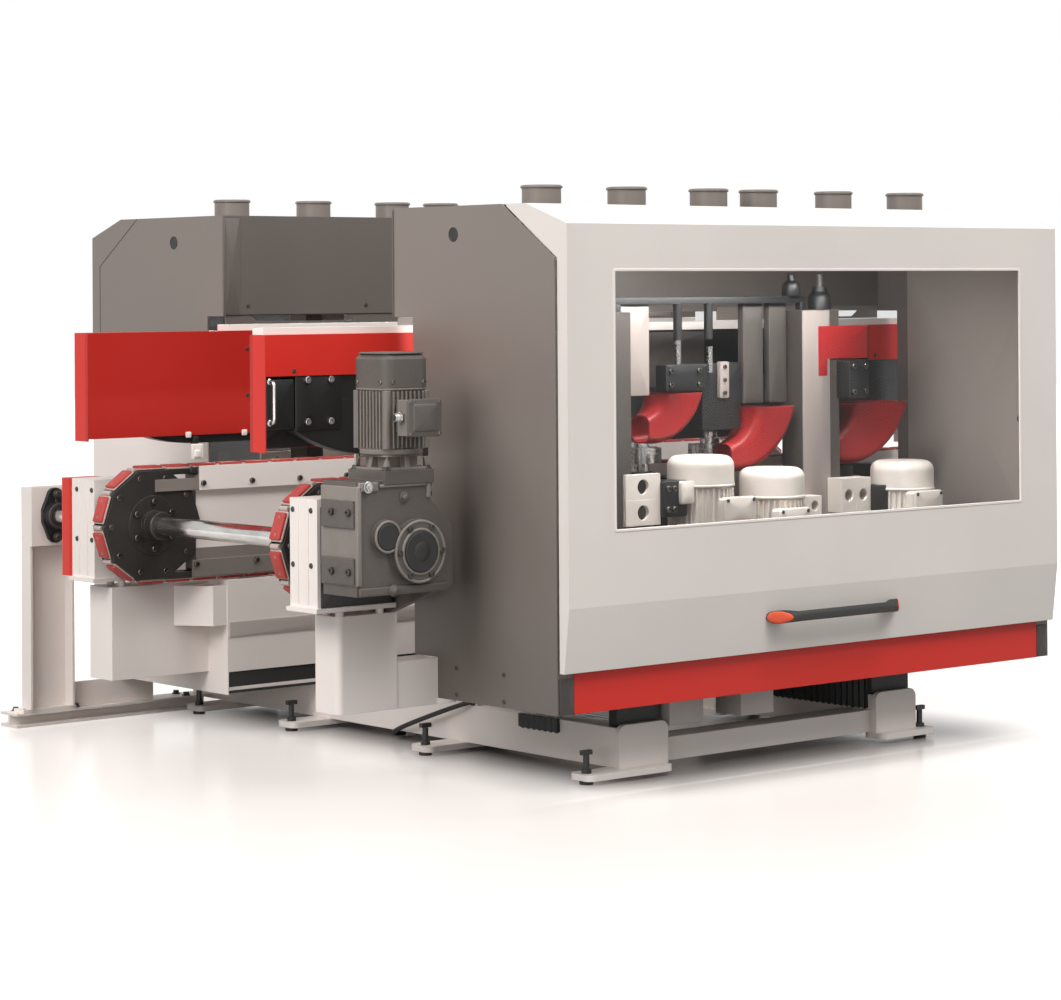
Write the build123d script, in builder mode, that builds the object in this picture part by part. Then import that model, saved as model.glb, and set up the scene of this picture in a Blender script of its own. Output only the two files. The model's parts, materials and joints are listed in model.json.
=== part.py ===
"""Double end tenoner: a fixed and a sliding tenoning unit on one floor base, in millimetres.

The origin lies on the floor under the middle of the machine. X runs along the feed, Y across it
from the sliding unit to the fixed one, and Z up. Distances called "out" count from the middle
plane between the two units, so each pair of sides shares one set of numbers.
"""
import math
import os

from build123d import *

# Enclosure of a unit
HALF_LENGTH = 1125
GAUGE = 4
ROOF_Z = 1806
RIDGE_OUT = 1035
EAVE_Z = 1638
FRONT_OUT = 1285
INNER_OUT = 485
STEP_Z = 1456
NECK_OUT = 585
FLANGE_WIDTH = 64
SPY_HOLE = (795, 1716, 20)
PORT_OUT = 870
PORT_XS = (-824, -460, -93, 139, 501, 860)
PORT_RADIUS = 63
PORT_TOP_Z = 1874

# Door
DOOR_HALF_LENGTH = 1120
DOOR_PROFILE = [(1050, 1806), (1142, 1806), (1337, 1741), (1337, 578), (1313, 380)]
WINDOW_HALF_LENGTH = 932
WINDOW_Z = (803, 1600)
HINGE_OUT = 1040
HINGE_Z = 1790
HINGE_XS = (-960, -480, 0, 480, 960)
HINGE_PIN = 5
HANDLE_X = (-285, 317)

# Gas struts of a door
STRUT_X = 1038
STRUT_FOOT = (1250, 1080)
STRUT_HEAD = (1300, 1660)
STRUT_PIN = 6

# Feed chains and their shaft
SHAFT_X = -1420
SHAFT_Z = 750
SHAFT_RADIUS = 32
RUNNING_CLEARANCE = 0.05
SIDES = 10
PITCH_APOTHEM = 169
CHAIN_INNER = 166
LINK_OUTER = 190
PAD_OUTER = 201
CHAIN_OUT = (485, 548)
LINKS_PER_RUN = 26
WHEEL_RADIUS = 164
PITCH = 2 * PITCH_APOTHEM * math.tan(math.pi / SIDES)
IDLER_X = SHAFT_X + LINKS_PER_RUN * PITCH

# Pressure beams
BEAM_HALF_LENGTH = 1560
COVER_HALF_LENGTH = 1681
COVER_START = 1000
COVER_OUT = (475, 556)
COVER_Z = (1050, 1406)
CARRIER_TOP_Z = 1428
COVER_SKIRT_Z = 1277
BELT_Z = 1022

# Tooling inside a unit
SPINDLE_XS = (-246, 80, 714)
SPINDLE_OUT = 685
SPINDLE_RADIUS = 20
CUTTER_RADIUS = 76
MOTOR_OUT = 985
MOTOR_TOPS = (995, 942, 940)
MOTOR_CAP = 96
# Each dust hood is a bent duct: outlet middle along X, outlet height, outlet width and bend radius.
HOODS = ((-236, 1196, 172, 118), (190, 1140, 178, 170), (694, 1140, 290, 158))
HOOD_OUTS = (764, 912)
HOOD_MOUTH = (92, 92)
COLUMN_XS = ((-548, -474), (313, 492))
COLUMN_OUT = (800, 900)
JACK_XY = (450, 850)

# Floor base
CROSS_BEAMS = ((-731, -532), (432, 617))
BEAM_Y = (-1106, 1280)
BEAM_Z = (34, 160)
FOOT_YS = (-1116, -303, 460, 1040)
FOOT_DEPTH = 106
FOOT_BOLT = {-1: 134, 1: 34}

# Supply cable beside the infeed cross beam, from a clamp on the beam to one under it.
CABLE_RADIUS = 8
CABLE_ROUTE = [(-728, -388, 172), (-771, -388, 172), (-771, 83, 12), (-655, 83, 12)]
CABLE_BENDS = [30, 45]

# Plan of the bracket between each end wall of the fixed cabinet and its pedestal.
WALL_BRACKET = ((HALF_LENGTH, 475), (1182, 475), (1267, 590), (HALF_LENGTH, 590))

UNITS = ((-1, "moving"), (1, "fixed"))
ENDS = (-1, 1)


def block(xs, ys, zs, mode=Mode.ADD):
    """Adds a box given by its limits along X, Y and Z."""
    with Locations((sum(xs) / 2, sum(ys) / 2, sum(zs) / 2)):
        Box(abs(xs[1] - xs[0]), abs(ys[1] - ys[0]), abs(zs[1] - zs[0]), mode=mode)


def slab(side, xs, outs, zs, mode=Mode.ADD):
    """Adds a box on one side of the middle plane."""
    block(xs, (side * outs[0], side * outs[1]), zs, mode)


def ahead(end, xs):
    """Limits along X at one end of the machine."""
    return (end * xs[0], end * xs[1])


def section(side, points, xs, mode=Mode.ADD):
    """Extrudes an outline of (out, z) points along X."""
    with BuildSketch(Plane.YZ.offset(min(xs))) as outline:
        Polygon(*[(side * out, z) for out, z in points], align=None)
    extrude(outline.sketch, amount=abs(xs[1] - xs[0]), dir=(1, 0, 0), mode=mode)


def elevation(points, ys, mode=Mode.ADD):
    """Extrudes an outline of (x, z) points along Y."""
    with BuildSketch(Plane.XZ.offset(-min(ys))) as outline:
        Polygon(*points, align=None)
    extrude(outline.sketch, amount=abs(ys[1] - ys[0]), dir=(0, 1, 0), mode=mode)


def rod(start, axis, radius, length, mode=Mode.ADD):
    """Adds a round bar from a start point along an axis."""
    with BuildSketch(Plane(origin=start, z_dir=axis)) as outline:
        Circle(radius)
    extrude(outline.sketch, amount=length, mode=mode)


def bent(points, gauge):
    """Outline of a sheet folded along the points, its thickness to the right of them."""
    inner = []
    for i, (a, b) in enumerate(points):
        turns = []
        for p, q in ((i - 1, i), (i, i + 1)):
            if 0 <= p and q < len(points):
                run = math.dist(points[p], points[q])
                turns.append(((points[q][1] - points[p][1]) / run, (points[p][0] - points[q][0]) / run))
        u, v = turns[0], turns[-1]
        reach = gauge / (1 + u[0] * v[0] + u[1] * v[1])
        inner.append((a + reach * (u[0] + v[0]), b + reach * (u[1] + v[1])))
    return points + inner[::-1]


def loop(apothem):
    """Outline of a chain run at one apothem, round both wheels."""
    reach = apothem / math.cos(math.pi / SIDES)
    points = []
    for x, first in ((SHAFT_X, 108), (IDLER_X, 288)):
        for turn in range(SIDES // 2):
            angle = math.radians(first + turn * 360 / SIDES)
            points.append((x + reach * math.cos(angle), SHAFT_Z + reach * math.sin(angle)))
    return points


def save(builder, name):
    """Labels a sub-part and writes it out."""
    builder.part.label = name
    export_step(builder.part, f"parts/{name}.step")


os.makedirs("parts", exist_ok=True)

# Floor base: two cross beams on foot plates, two side beams and the rails the sliding unit runs on.
feet = [(edge, turn, y) for edge, turn in ((CROSS_BEAMS[0][0], -1), (CROSS_BEAMS[1][1], 1)) for y in FOOT_YS]

with BuildPart() as cross_beams:
    for xs in CROSS_BEAMS:
        block(xs, BEAM_Y, BEAM_Z)
        block((xs[0] + 10, xs[1] - 10), BEAM_Y, (BEAM_Z[0] + 10, BEAM_Z[1] - 10), Mode.SUBTRACT)
        with BuildSketch(Plane.XZ.offset(-BEAM_Y[0])) as end_plate:
            with Locations(((xs[0] + xs[1]) / 2, 102)):
                Rectangle(xs[1] - xs[0] + 10, 136)
            fillet(end_plate.vertices().group_by(Axis.Y)[-1], 28)
        extrude(end_plate.sketch, amount=12)
    for edge, turn, y in feet:
        tip = edge + turn * (FOOT_BOLT[turn] + 32)
        with BuildSketch(Plane.XY.offset(14)):
            with Locations(((edge - turn * 195 + tip) / 2, y)):
                RectangleRounded(abs(edge - turn * 195 - tip), FOOT_DEPTH, 30)
        extrude(amount=20)
        rod((edge + turn * FOOT_BOLT[turn], y, 14), (0, 0, 1), 10.6, 20, Mode.SUBTRACT)
    start, stop = CABLE_ROUTE[0], CABLE_ROUTE[-1]
    block((start[0], start[0] + 28), (start[1] - 20, start[1] + 20), (BEAM_Z[1], start[2] + 14))
    block((stop[0], stop[0] + 32), (stop[1] - 20, stop[1] + 20), (stop[2] - 10, BEAM_Z[0]))
save(cross_beams, "base_cross_beams")

with BuildPart() as side_beams:
    for side, unit in UNITS:
        slab(side, (CROSS_BEAMS[0][1], CROSS_BEAMS[1][0]), (990, 1095), (34, 108))
save(side_beams, "base_side_beams")

with BuildPart() as levelling_screws:
    for edge, turn, y in feet:
        x = edge + turn * FOOT_BOLT[turn]
        rod((x, y, 0), (0, 0, 1), 22, 10)
        rod((x, y, 10), (0, 0, 1), 10, 82)
        with BuildSketch(Plane.XY.offset(34)):
            with Locations((x, y)):
                RegularPolygon(17, 6)
        extrude(amount=12)
        block((x - 20, x + 20), (y - 8, y + 8), (92, 106))
save(levelling_screws, "levelling_screws")

with BuildPart() as guide_rails:
    for xs in CROSS_BEAMS:
        middle = sum(xs) / 2
        block((middle - 21, middle + 21), (-1095, -150), (160, 186))
        for turn in (-1, 1):
            rod((middle + turn * 21, -1095, 173), (0, 1, 0), 5, 945, Mode.SUBTRACT)
save(guide_rails, "guide_rails")

with BuildPart() as supply_cable:
    with BuildLine() as route:
        FilletPolyline(*CABLE_ROUTE, radius=CABLE_BENDS)
    with BuildSketch(Plane(origin=route.line @ 0, z_dir=route.line % 0)):
        Circle(CABLE_RADIUS)
    sweep(path=route.line)
cable_length = route.wires()[0].length
print("cable", round(cable_length), "mm long, bends of", CABLE_BENDS, "mm, volume over section times length",
      round(supply_cable.part.volume / (math.pi * CABLE_RADIUS ** 2 * cable_length), 4))
save(supply_cable, "supply_cable")

# Outboard support of the feed shaft.
with BuildPart() as post_floor_beam:
    block((-1556, CROSS_BEAMS[0][0]), (1160, 1272), (0, 50))
    for ys in ((1160, 1210), (1222, 1272)):
        block((-1556, CROSS_BEAMS[0][0]), ys, (9, 41), Mode.SUBTRACT)
save(post_floor_beam, "post_floor_beam")

with BuildPart() as shaft_post:
    block((-1528, -1312), (1160, 1230), (50, 62))
    block((-1510, -1330), (1192, 1202), (62, 851))
    for xs in ((-1510, -1501), (-1339, -1330)):
        block(xs, (1140, 1202), (62, 851))
    block((-1510, -1330), (1130, 1140), (642, 851))
    block((-1330, -965), (1192, 1202), (50, 140))
    rod((SHAFT_X, 1130, SHAFT_Z), (0, 1, 0), 38, 72, Mode.SUBTRACT)
save(shaft_post, "shaft_post")

with BuildPart() as post_bearing:
    with BuildSketch(Plane.XZ.offset(-1114)):
        with BuildLine():
            for turn in (-1, 1):
                Line((SHAFT_X + turn * 52, SHAFT_Z + 22), (SHAFT_X + turn * 26, SHAFT_Z + 84))
                Line((SHAFT_X + turn * 52, SHAFT_Z - 22), (SHAFT_X + turn * 26, SHAFT_Z - 84))
                Line((SHAFT_X + turn * 52, SHAFT_Z + 22), (SHAFT_X + turn * 52, SHAFT_Z - 22))
                ThreePointArc((SHAFT_X - 26, SHAFT_Z + turn * 84), (SHAFT_X, SHAFT_Z + turn * 98),
                              (SHAFT_X + 26, SHAFT_Z + turn * 84))
        make_face()
    extrude(amount=16, dir=(0, 1, 0))
    rod((SHAFT_X, 1094, SHAFT_Z), (0, 1, 0), 48, 36)
    for turn in (-1, 1):
        rod((SHAFT_X, 1106, SHAFT_Z + turn * 76), (0, 1, 0), 11, 10)
    rod((SHAFT_X, 1094, SHAFT_Z), (0, 1, 0), SHAFT_RADIUS + RUNNING_CLEARANCE, 36, Mode.SUBTRACT)
save(post_bearing, "post_bearing")

# Lower structure of the sliding unit: carriage on the rails with posts for the chain beam.
with BuildPart() as carriage:
    slab(-1, (-1050, 1050), (NECK_OUT + GAUGE, 1281), (252, 290))
    slab(-1, (-1121, 1121), (NECK_OUT, NECK_OUT + GAUGE), (382, 545))
    slab(-1, (-1050, 1050), (NECK_OUT, NECK_OUT + GAUGE), (252, 382))
    for xs in CROSS_BEAMS:
        middle = sum(xs) / 2
        for outs in ((640, 800), (900, 1060)):
            slab(-1, (middle - 60, middle + 60), outs, (186.5, 252))
    for x in (-945, -78, 945):
        slab(-1, (x - 40, x + 40), (600, 700), (290, 905))
        slab(-1, (x - 40, x + 40), (560, 600), (862, 905))
    for xs in ((-520, -373), (-205, -58)):
        slab(-1, xs, (1005, 1125), (150, 252))
save(carriage, "moving_carriage")

with BuildPart() as pedestals:
    for end in ENDS:
        slab(-1, ahead(end, (1287, 1518)), (572, 703), (232, 535))
        slab(-1, ahead(end, (1050, 1287)), (590, 700), (232, 378))
        slab(-1, ahead(end, (1287, 1400)), (590, 700), (232, 400))
    fillet(pedestals.edges().filter_by(Axis.Z).sort_by(Axis.X)[:2], 22)
    fillet(pedestals.edges().filter_by(Axis.Z).sort_by(Axis.X)[-2:], 22)
save(pedestals, "moving_pedestals")

with BuildPart() as cabinet:
    for end in ENDS:
        section(1, [(471, 146), (1337, 146), (1337, 1046), (585, 1046), (585, 545), (471, 545)],
                ahead(end, (HALF_LENGTH - GAUGE, HALF_LENGTH)))
        with BuildSketch(Plane.XY.offset(388)):
            Polygon(*[(end * x, out) for x, out in WALL_BRACKET], align=None)
        extrude(amount=138)
        slab(1, ahead(end, (HALF_LENGTH, 1518)), (590, 730), (218, 535))
    slab(1, (-1121, 1121), (471, 475), (225, 545))
    slab(1, (-1121, 1121), (475, 1281), (160, 172))
    for x in (-945, -78, 945):
        slab(1, (x - 40, x + 40), (600, 700), (172, 905))
        slab(1, (x - 40, x + 40), (560, 600), (862, 905))
save(cabinet, "fixed_cabinet")

for side, unit in UNITS:
    floor = 290 if side < 0 else 172

    # Sheet-metal enclosure.
    with BuildPart() as end_panels:
        for end in ENDS:
            if side < 0:
                outline = [(NECK_OUT, 380), (703, 380), (703, 252), (FRONT_OUT, 252), (FRONT_OUT, EAVE_Z),
                           (RIDGE_OUT, ROOF_Z)]
                flange_z = (252, 1630)
            else:
                outline = [(NECK_OUT, 1046), (1337, 1046), (1337, 1741), (1142, ROOF_Z)]
                flange_z = (1046, 1630)
            outline += [(INNER_OUT, ROOF_Z), (INNER_OUT, STEP_Z), (NECK_OUT, STEP_Z)]
            section(side, outline, ahead(end, (HALF_LENGTH - GAUGE, HALF_LENGTH)))
            slab(side, ahead(end, (HALF_LENGTH - FLANGE_WIDTH, HALF_LENGTH - GAUGE)),
                 (FRONT_OUT - GAUGE, FRONT_OUT), flange_z)
            rod((end * (HALF_LENGTH - GAUGE), side * STRUT_FOOT[0], STRUT_FOOT[1]), (-end, 0, 0), STRUT_PIN, 95)
            rod((end * (HALF_LENGTH - GAUGE), side * SPY_HOLE[0], SPY_HOLE[1]), (end, 0, 0), SPY_HOLE[2], GAUGE,
                Mode.SUBTRACT)
    save(end_panels, f"{unit}_end_panels")

    with BuildPart() as roof:
        fold = [(1015, ROOF_Z), (INNER_OUT, ROOF_Z), (INNER_OUT, 1461)]
        section(side, bent(fold, -GAUGE), (-1121, 1121))
        for x in PORT_XS:
            rod((x, side * PORT_OUT, ROOF_Z - 10), (0, 0, 1), PORT_RADIUS, 20, Mode.SUBTRACT)
        for x in HINGE_XS:
            section(side, [(1040, 1780), (1000, 1780), (1000, 1802), (1012, 1802), (1012, 1790), (1040, 1790)],
                    (x - 30, x - 1))
            rod((x - 30, side * HINGE_OUT, HINGE_Z), (1, 0, 0), 10, 29)
            rod((x - 30, side * HINGE_OUT, HINGE_Z), (1, 0, 0), HINGE_PIN, 60)
    save(roof, f"{unit}_roof")

    with BuildPart() as dust_ports:
        for x in PORT_XS:
            rod((x, side * PORT_OUT, ROOF_Z), (0, 0, 1), PORT_RADIUS + 15, 4)
            rod((x, side * PORT_OUT, ROOF_Z - 60), (0, 0, 1), PORT_RADIUS, PORT_TOP_Z - ROOF_Z + 60)
            rod((x, side * PORT_OUT, ROOF_Z - 60), (0, 0, 1), PORT_RADIUS - 4, PORT_TOP_Z - ROOF_Z + 60,
                Mode.SUBTRACT)
    save(dust_ports, f"{unit}_dust_ports")

    with BuildPart() as kick_strip:
        slab(side, (-1061, 1061), (FRONT_OUT, FRONT_OUT + GAUGE), (252 if side < 0 else 146, 400))
        slab(side, (-1061, 1061), (FRONT_OUT - 34, FRONT_OUT), (396, 400))
    save(kick_strip, f"{unit}_kick_strip")

    # Door with its window, handle and gas struts.
    with BuildPart() as door:
        section(side, bent(DOOR_PROFILE, GAUGE), (-DOOR_HALF_LENGTH, DOOR_HALF_LENGTH))
        slab(side, (-WINDOW_HALF_LENGTH, WINDOW_HALF_LENGTH), (1320, 1350), WINDOW_Z, Mode.SUBTRACT)
        for end in ENDS:
            section(side, [(1052, 1806)] + DOOR_PROFILE[1:] + [(1291, 380), (1291, 1637.6), (1052, 1798.2)],
                    ahead(end, (DOOR_HALF_LENGTH - 3, DOOR_HALF_LENGTH)))
            rod((end * (DOOR_HALF_LENGTH - 3), side * STRUT_HEAD[0], STRUT_HEAD[1]), (-end, 0, 0), STRUT_PIN,
                DOOR_HALF_LENGTH - 3 - STRUT_X - 10)
        for x in HINGE_XS:
            slab(side, (x, x + 30), (1040, 1054), (1788, 1802))
            rod((x, side * HINGE_OUT, HINGE_Z), (1, 0, 0), 10, 30)
            rod((x, side * HINGE_OUT, HINGE_Z), (1, 0, 0), HINGE_PIN + RUNNING_CLEARANCE, 30, Mode.SUBTRACT)
    save(door, f"{unit}_door")

    with BuildPart() as window:
        slab(side, (-WINDOW_HALF_LENGTH - 20, WINDOW_HALF_LENGTH + 20), (1327, 1333),
             (WINDOW_Z[0] - 20, WINDOW_Z[1] + 20))
    save(window, f"{unit}_window")

    with BuildPart() as handle:
        for x, turn in ((HANDLE_X[0], 1), (HANDLE_X[1], -1)):
            section(side, [(1324.6, 475), (1328.9, 510), (1395, 507), (1395, 479)], (x, x + turn * 62))
        fillet(handle.edges().filter_by(Axis.X).group_by(Axis.Y)[0 if side < 0 else -1], 12)
        rod((HANDLE_X[0] + 62, side * 1378, 493), (1, 0, 0), 13, HANDLE_X[1] - HANDLE_X[0] - 124)
    save(handle, f"{unit}_door_handle")

    reach = math.dist(STRUT_FOOT, STRUT_HEAD)
    along = (0, side * (STRUT_HEAD[0] - STRUT_FOOT[0]) / reach, (STRUT_HEAD[1] - STRUT_FOOT[1]) / reach)

    with BuildPart() as strut_cylinders:
        for end in ENDS:
            foot = (end * STRUT_X, side * STRUT_FOOT[0], STRUT_FOOT[1])
            rod(foot, along, 11, 470)
            rod((foot[0] - 8, foot[1], foot[2]), (1, 0, 0), 14, 16)
            rod((foot[0] - 11, foot[1], foot[2]), (1, 0, 0), STRUT_PIN + RUNNING_CLEARANCE, 22, Mode.SUBTRACT)
            mouth = [foot[i] + 40 * along[i] for i in range(3)]
            rod(mouth, along, 5.3, 440, Mode.SUBTRACT)
    save(strut_cylinders, f"{unit}_strut_cylinders")

    with BuildPart() as strut_rods:
        for end in ENDS:
            start = (end * STRUT_X, side * STRUT_FOOT[0] + 55 * along[1], STRUT_FOOT[1] + 55 * along[2])
            rod(start, along, 5, reach - 60)
            rod((end * STRUT_X - 8, side * STRUT_HEAD[0], STRUT_HEAD[1]), (1, 0, 0), 12, 16)
    save(strut_rods, f"{unit}_strut_rods")

    # Feed chain on its beam.
    with BuildPart() as chain_beam:
        section(side, [(473, 943), (481, 943), (481, 912), (552, 912), (552, 943), (560, 943), (560, 860),
                       (538, 860), (538, 621), (560, 621), (560, 563), (552, 563), (552, 588), (481, 588),
                       (481, 563), (473, 563), (473, 621), (495, 621), (495, 860), (473, 860)], (-1238, 1238))
        for end in ENDS:
            slab(side, ahead(end, (1238, 1413)), (473, 481), (862, 903))
            slab(side, ahead(end, (1238, 1265)), (473, 481), (563, 621))
    save(chain_beam, f"{unit}_chain_beam")

    with BuildPart() as chain:
        chain_ys = (side * CHAIN_OUT[0], side * CHAIN_OUT[1])
        elevation(loop(LINK_OUTER), chain_ys)
        elevation(loop(CHAIN_INNER), chain_ys, Mode.SUBTRACT)
        seats = [(SHAFT_X + (i - 0.5) * PITCH + PITCH / 2, 90) for i in range(LINKS_PER_RUN + 1)]
        seats += [(x, -90) for x, angle in seats]
        seats += [(SHAFT_X, 126 + 36 * i) for i in range(SIDES // 2 - 1)]
        seats += [(IDLER_X, -54 + 36 * i) for i in range(SIDES // 2 - 1)]
        for x, angle in seats:
            out = (math.cos(math.radians(angle)), 0, math.sin(math.radians(angle)))
            face = Plane(origin=(x + LINK_OUTER * out[0], side * 516.5, SHAFT_Z + LINK_OUTER * out[2]),
                         x_dir=(0, 1, 0), z_dir=out)
            with Locations(face):
                Box(54, PITCH - 22, PAD_OUTER - LINK_OUTER, align=(Align.CENTER, Align.CENTER, Align.MIN))
        for x in (SHAFT_X - PITCH / 2, IDLER_X + PITCH / 2):
            block((x - 0.5, x + 0.5), chain_ys, (500, 1000), Mode.SUBTRACT)
    save(chain, f"{unit}_feed_chain")

    with BuildPart() as brackets:
        tip = 1620 if side < 0 else 1581
        for end, axis_x in ((-1, SHAFT_X), (1, IDLER_X)):
            slab(side, ahead(end, (tip - 12, tip)), (598, 741), (570, 905))
            for outs in ((598, 610), (729, 741)):
                slab(side, ahead(end, (tip - 290, tip - 12)), outs, (570, 880))
            slab(side, ahead(end, (tip - 290, tip)), (598, 741), (897, 905))
            slab(side, ahead(end, (tip - 60, tip - 12)), (598, 741), (880, 897))
            slab(side, ahead(end, (tip - 295, tip + 10)), (590, 750), (556, 570))
            for x in (tip - 275, tip - 120):
                for out in (620, 690):
                    rod((end * x, side * out, 535), (0, 0, 1), 13, 21)
            rod((axis_x, side * 590, SHAFT_Z), (0, side, 0), 52, 36)
            rod((axis_x, side * 580, SHAFT_Z), (0, side, 0), SHAFT_RADIUS + RUNNING_CLEARANCE, 170, Mode.SUBTRACT)
    save(brackets, f"{unit}_bearing_brackets")

    with BuildPart() as drive_wheel:
        rod((SHAFT_X, side * 487, SHAFT_Z), (0, side, 0), WHEEL_RADIUS, 59)
        rod((SHAFT_X, side * 478, SHAFT_Z), (0, side, 0), 100, 104)
        rod((SHAFT_X, side * 462, SHAFT_Z), (0, side, 0), 50, 120)
        bore = SHAFT_RADIUS + (0 if side < 0 else RUNNING_CLEARANCE)
        rod((SHAFT_X, side * 440, SHAFT_Z), (0, side, 0), bore, 160, Mode.SUBTRACT)
        for turn in range(6):
            angle = math.radians(60 * turn + 30)
            rod((SHAFT_X + 80 * math.cos(angle), side * 470, SHAFT_Z + 80 * math.sin(angle)), (0, side, 0), 9, 10)
    save(drive_wheel, f"{unit}_drive_wheel")

    with BuildPart() as idler_wheel:
        rod((IDLER_X, side * 487, SHAFT_Z), (0, side, 0), WHEEL_RADIUS, 59)
        rod((IDLER_X, side * 478, SHAFT_Z), (0, side, 0), 100, 104)
        rod((IDLER_X, side * 466, SHAFT_Z), (0, side, 0), SHAFT_RADIUS, 292)
    save(idler_wheel, f"{unit}_idler_wheel")

    # Pressure beam over the chain and its end covers.
    with BuildPart() as pressure_beam:
        with BuildSketch(Plane.XZ.offset(-min(side * 490, side * 546))):
            with BuildLine():
                Line((-1250, BELT_Z), (1250, BELT_Z))
                Line((-BEAM_HALF_LENGTH, 1200), (BEAM_HALF_LENGTH, 1200))
                for end in ENDS:
                    ThreePointArc((end * 1250, BELT_Z), (end * 1433, 1050), (end * BEAM_HALF_LENGTH, 1106))
                    Line((end * BEAM_HALF_LENGTH, 1106), (end * BEAM_HALF_LENGTH, 1200))
            make_face()
        extrude(amount=56, dir=(0, 1, 0))
        slab(side, (-BEAM_HALF_LENGTH, BEAM_HALF_LENGTH), (496, 540), (1200, 1396))
        slab(side, (1 - COVER_START, COVER_START - 1), (486, 545), (1396, COVER_Z[1]))
        carrier = COVER_HALF_LENGTH - 3 if side < 0 else HALF_LENGTH - 15
        slab(side, (-carrier, carrier), (486, 545), (COVER_Z[1], CARRIER_TOP_Z))
        for end in ENDS:
            slab(side, ahead(end, (415, 485)), (540, 786), (1240, 1330))
            slab(side, ahead(end, (390, 510)), (786, 799.5), (1160, 1396))
    save(pressure_beam, f"{unit}_pressure_beam")

    with BuildPart() as pressure_cover:
        for end in ENDS:
            xs = ahead(end, (COVER_START, COVER_HALF_LENGTH))
            slab(side, xs, (COVER_OUT[0], COVER_OUT[0] + GAUGE), COVER_Z)
            slab(side, xs, COVER_OUT, (COVER_Z[1] - GAUGE, COVER_Z[1]))
            slab(side, xs, (COVER_OUT[1] - GAUGE, COVER_OUT[1]), (COVER_SKIRT_Z, COVER_Z[1]))
            slab(side, ahead(end, (COVER_HALF_LENGTH - GAUGE, COVER_HALF_LENGTH)), COVER_OUT, (1042, COVER_Z[1]))
    save(pressure_cover, f"{unit}_pressure_cover")

    # Tooling: columns, motors, spindles and dust hoods.
    with BuildPart() as tool_frame:
        for xs in COLUMN_XS:
            slab(side, xs, COLUMN_OUT, (floor, 1466))
        for radius, foot, height in ((40, 1466, 14), (24, 1480, 62), (11, 1542, 46)):
            rod((JACK_XY[0], side * JACK_XY[1], foot), (0, 0, 1), radius, height)
        for x in SPINDLE_XS:
            slab(side, (x - 50, x + 50), (760, 900), (floor, 470))
            slab(side, (x - 66, x + 66), (630, 1045), (470, 560))
            slab(side, (x - 105, x + 105), (625, 1085), (560, 590))
            rod((x, side * SPINDLE_OUT, 590), (0, 0, 1), 46, 330)
            rod((x, side * SPINDLE_OUT, 500), (0, 0, 1), SPINDLE_RADIUS + RUNNING_CLEARANCE, 430, Mode.SUBTRACT)
    save(tool_frame, f"{unit}_tool_frame")

    with BuildPart() as spindle_motors:
        for x, top in zip(SPINDLE_XS, MOTOR_TOPS):
            rod((x, side * MOTOR_OUT, 590), (0, 0, 1), 100, top - MOTOR_CAP - 590)
            rod((x, side * MOTOR_OUT, top - MOTOR_CAP), (0, 0, 1), 110, MOTOR_CAP)
            with Locations((x, side * MOTOR_OUT, (590 + top - MOTOR_CAP) / 2)):
                with PolarLocations(103, 36):
                    Box(12, 5, top - MOTOR_CAP - 20 - 590)
        fillet(spindle_motors.edges().filter_by(GeomType.CIRCLE).filter_by(
            lambda edge: edge.center().Z > 900 and edge.radius > 109), 34)
    save(spindle_motors, f"{unit}_spindle_motors")

    with BuildPart() as dust_hoods:
        for x, top, width, bend in HOODS:
            for inset, mode in ((0, Mode.ADD), (GAUGE, Mode.SUBTRACT)):
                for step in range(4):
                    angle = math.radians(30 * step)
                    share = 1 - step / 3
                    across = HOOD_MOUTH[0] + share * (width - HOOD_MOUTH[0])
                    depth = HOOD_MOUTH[1] + share * (HOOD_OUTS[1] - HOOD_OUTS[0] - HOOD_MOUTH[1])
                    middle = (x - bend * (1 - math.cos(angle)), side * (HOOD_OUTS[0] + depth / 2),
                              top - bend * math.sin(angle))
                    with BuildSketch(Plane(origin=middle, x_dir=(0, 1, 0),
                                           z_dir=(-math.sin(angle), 0, -math.cos(angle)))):
                        RectangleRounded(depth - 2 * inset, across - 2 * inset, 30 - inset)
                loft(mode=mode)
    save(dust_hoods, f"{unit}_dust_hoods")

    for number, x in enumerate(SPINDLE_XS, start=1):
        with BuildPart() as cutter:
            rod((x, side * SPINDLE_OUT, 510), (0, 0, 1), SPINDLE_RADIUS, 526)
            rod((x, side * SPINDLE_OUT, 928), (0, 0, 1), 34, 100)
            rod((x, side * SPINDLE_OUT, 958), (0, 0, 1), 62, 52)
            with Locations((x, side * SPINDLE_OUT, 984)):
                with PolarLocations(64, 6):
                    Box(2 * (CUTTER_RADIUS - 64), 16, 52)
        save(cutter, f"{unit}_cutter_{number}")

# Red cover on the outer face of the fixed infeed bracket.
with BuildPart() as bracket_cover:
    slab(1, (-1585, -1461), (741, 811), (570, 905))
    fillet(bracket_cover.edges().filter_by(Axis.Z), 14)
save(bracket_cover, "fixed_bracket_cover")

# Feed drive on the sliding unit.
with BuildPart() as drive_shaft:
    rod((SHAFT_X, -985, SHAFT_Z), (0, 1, 0), SHAFT_RADIUS, 2180)
save(drive_shaft, "drive_shaft")

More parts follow.
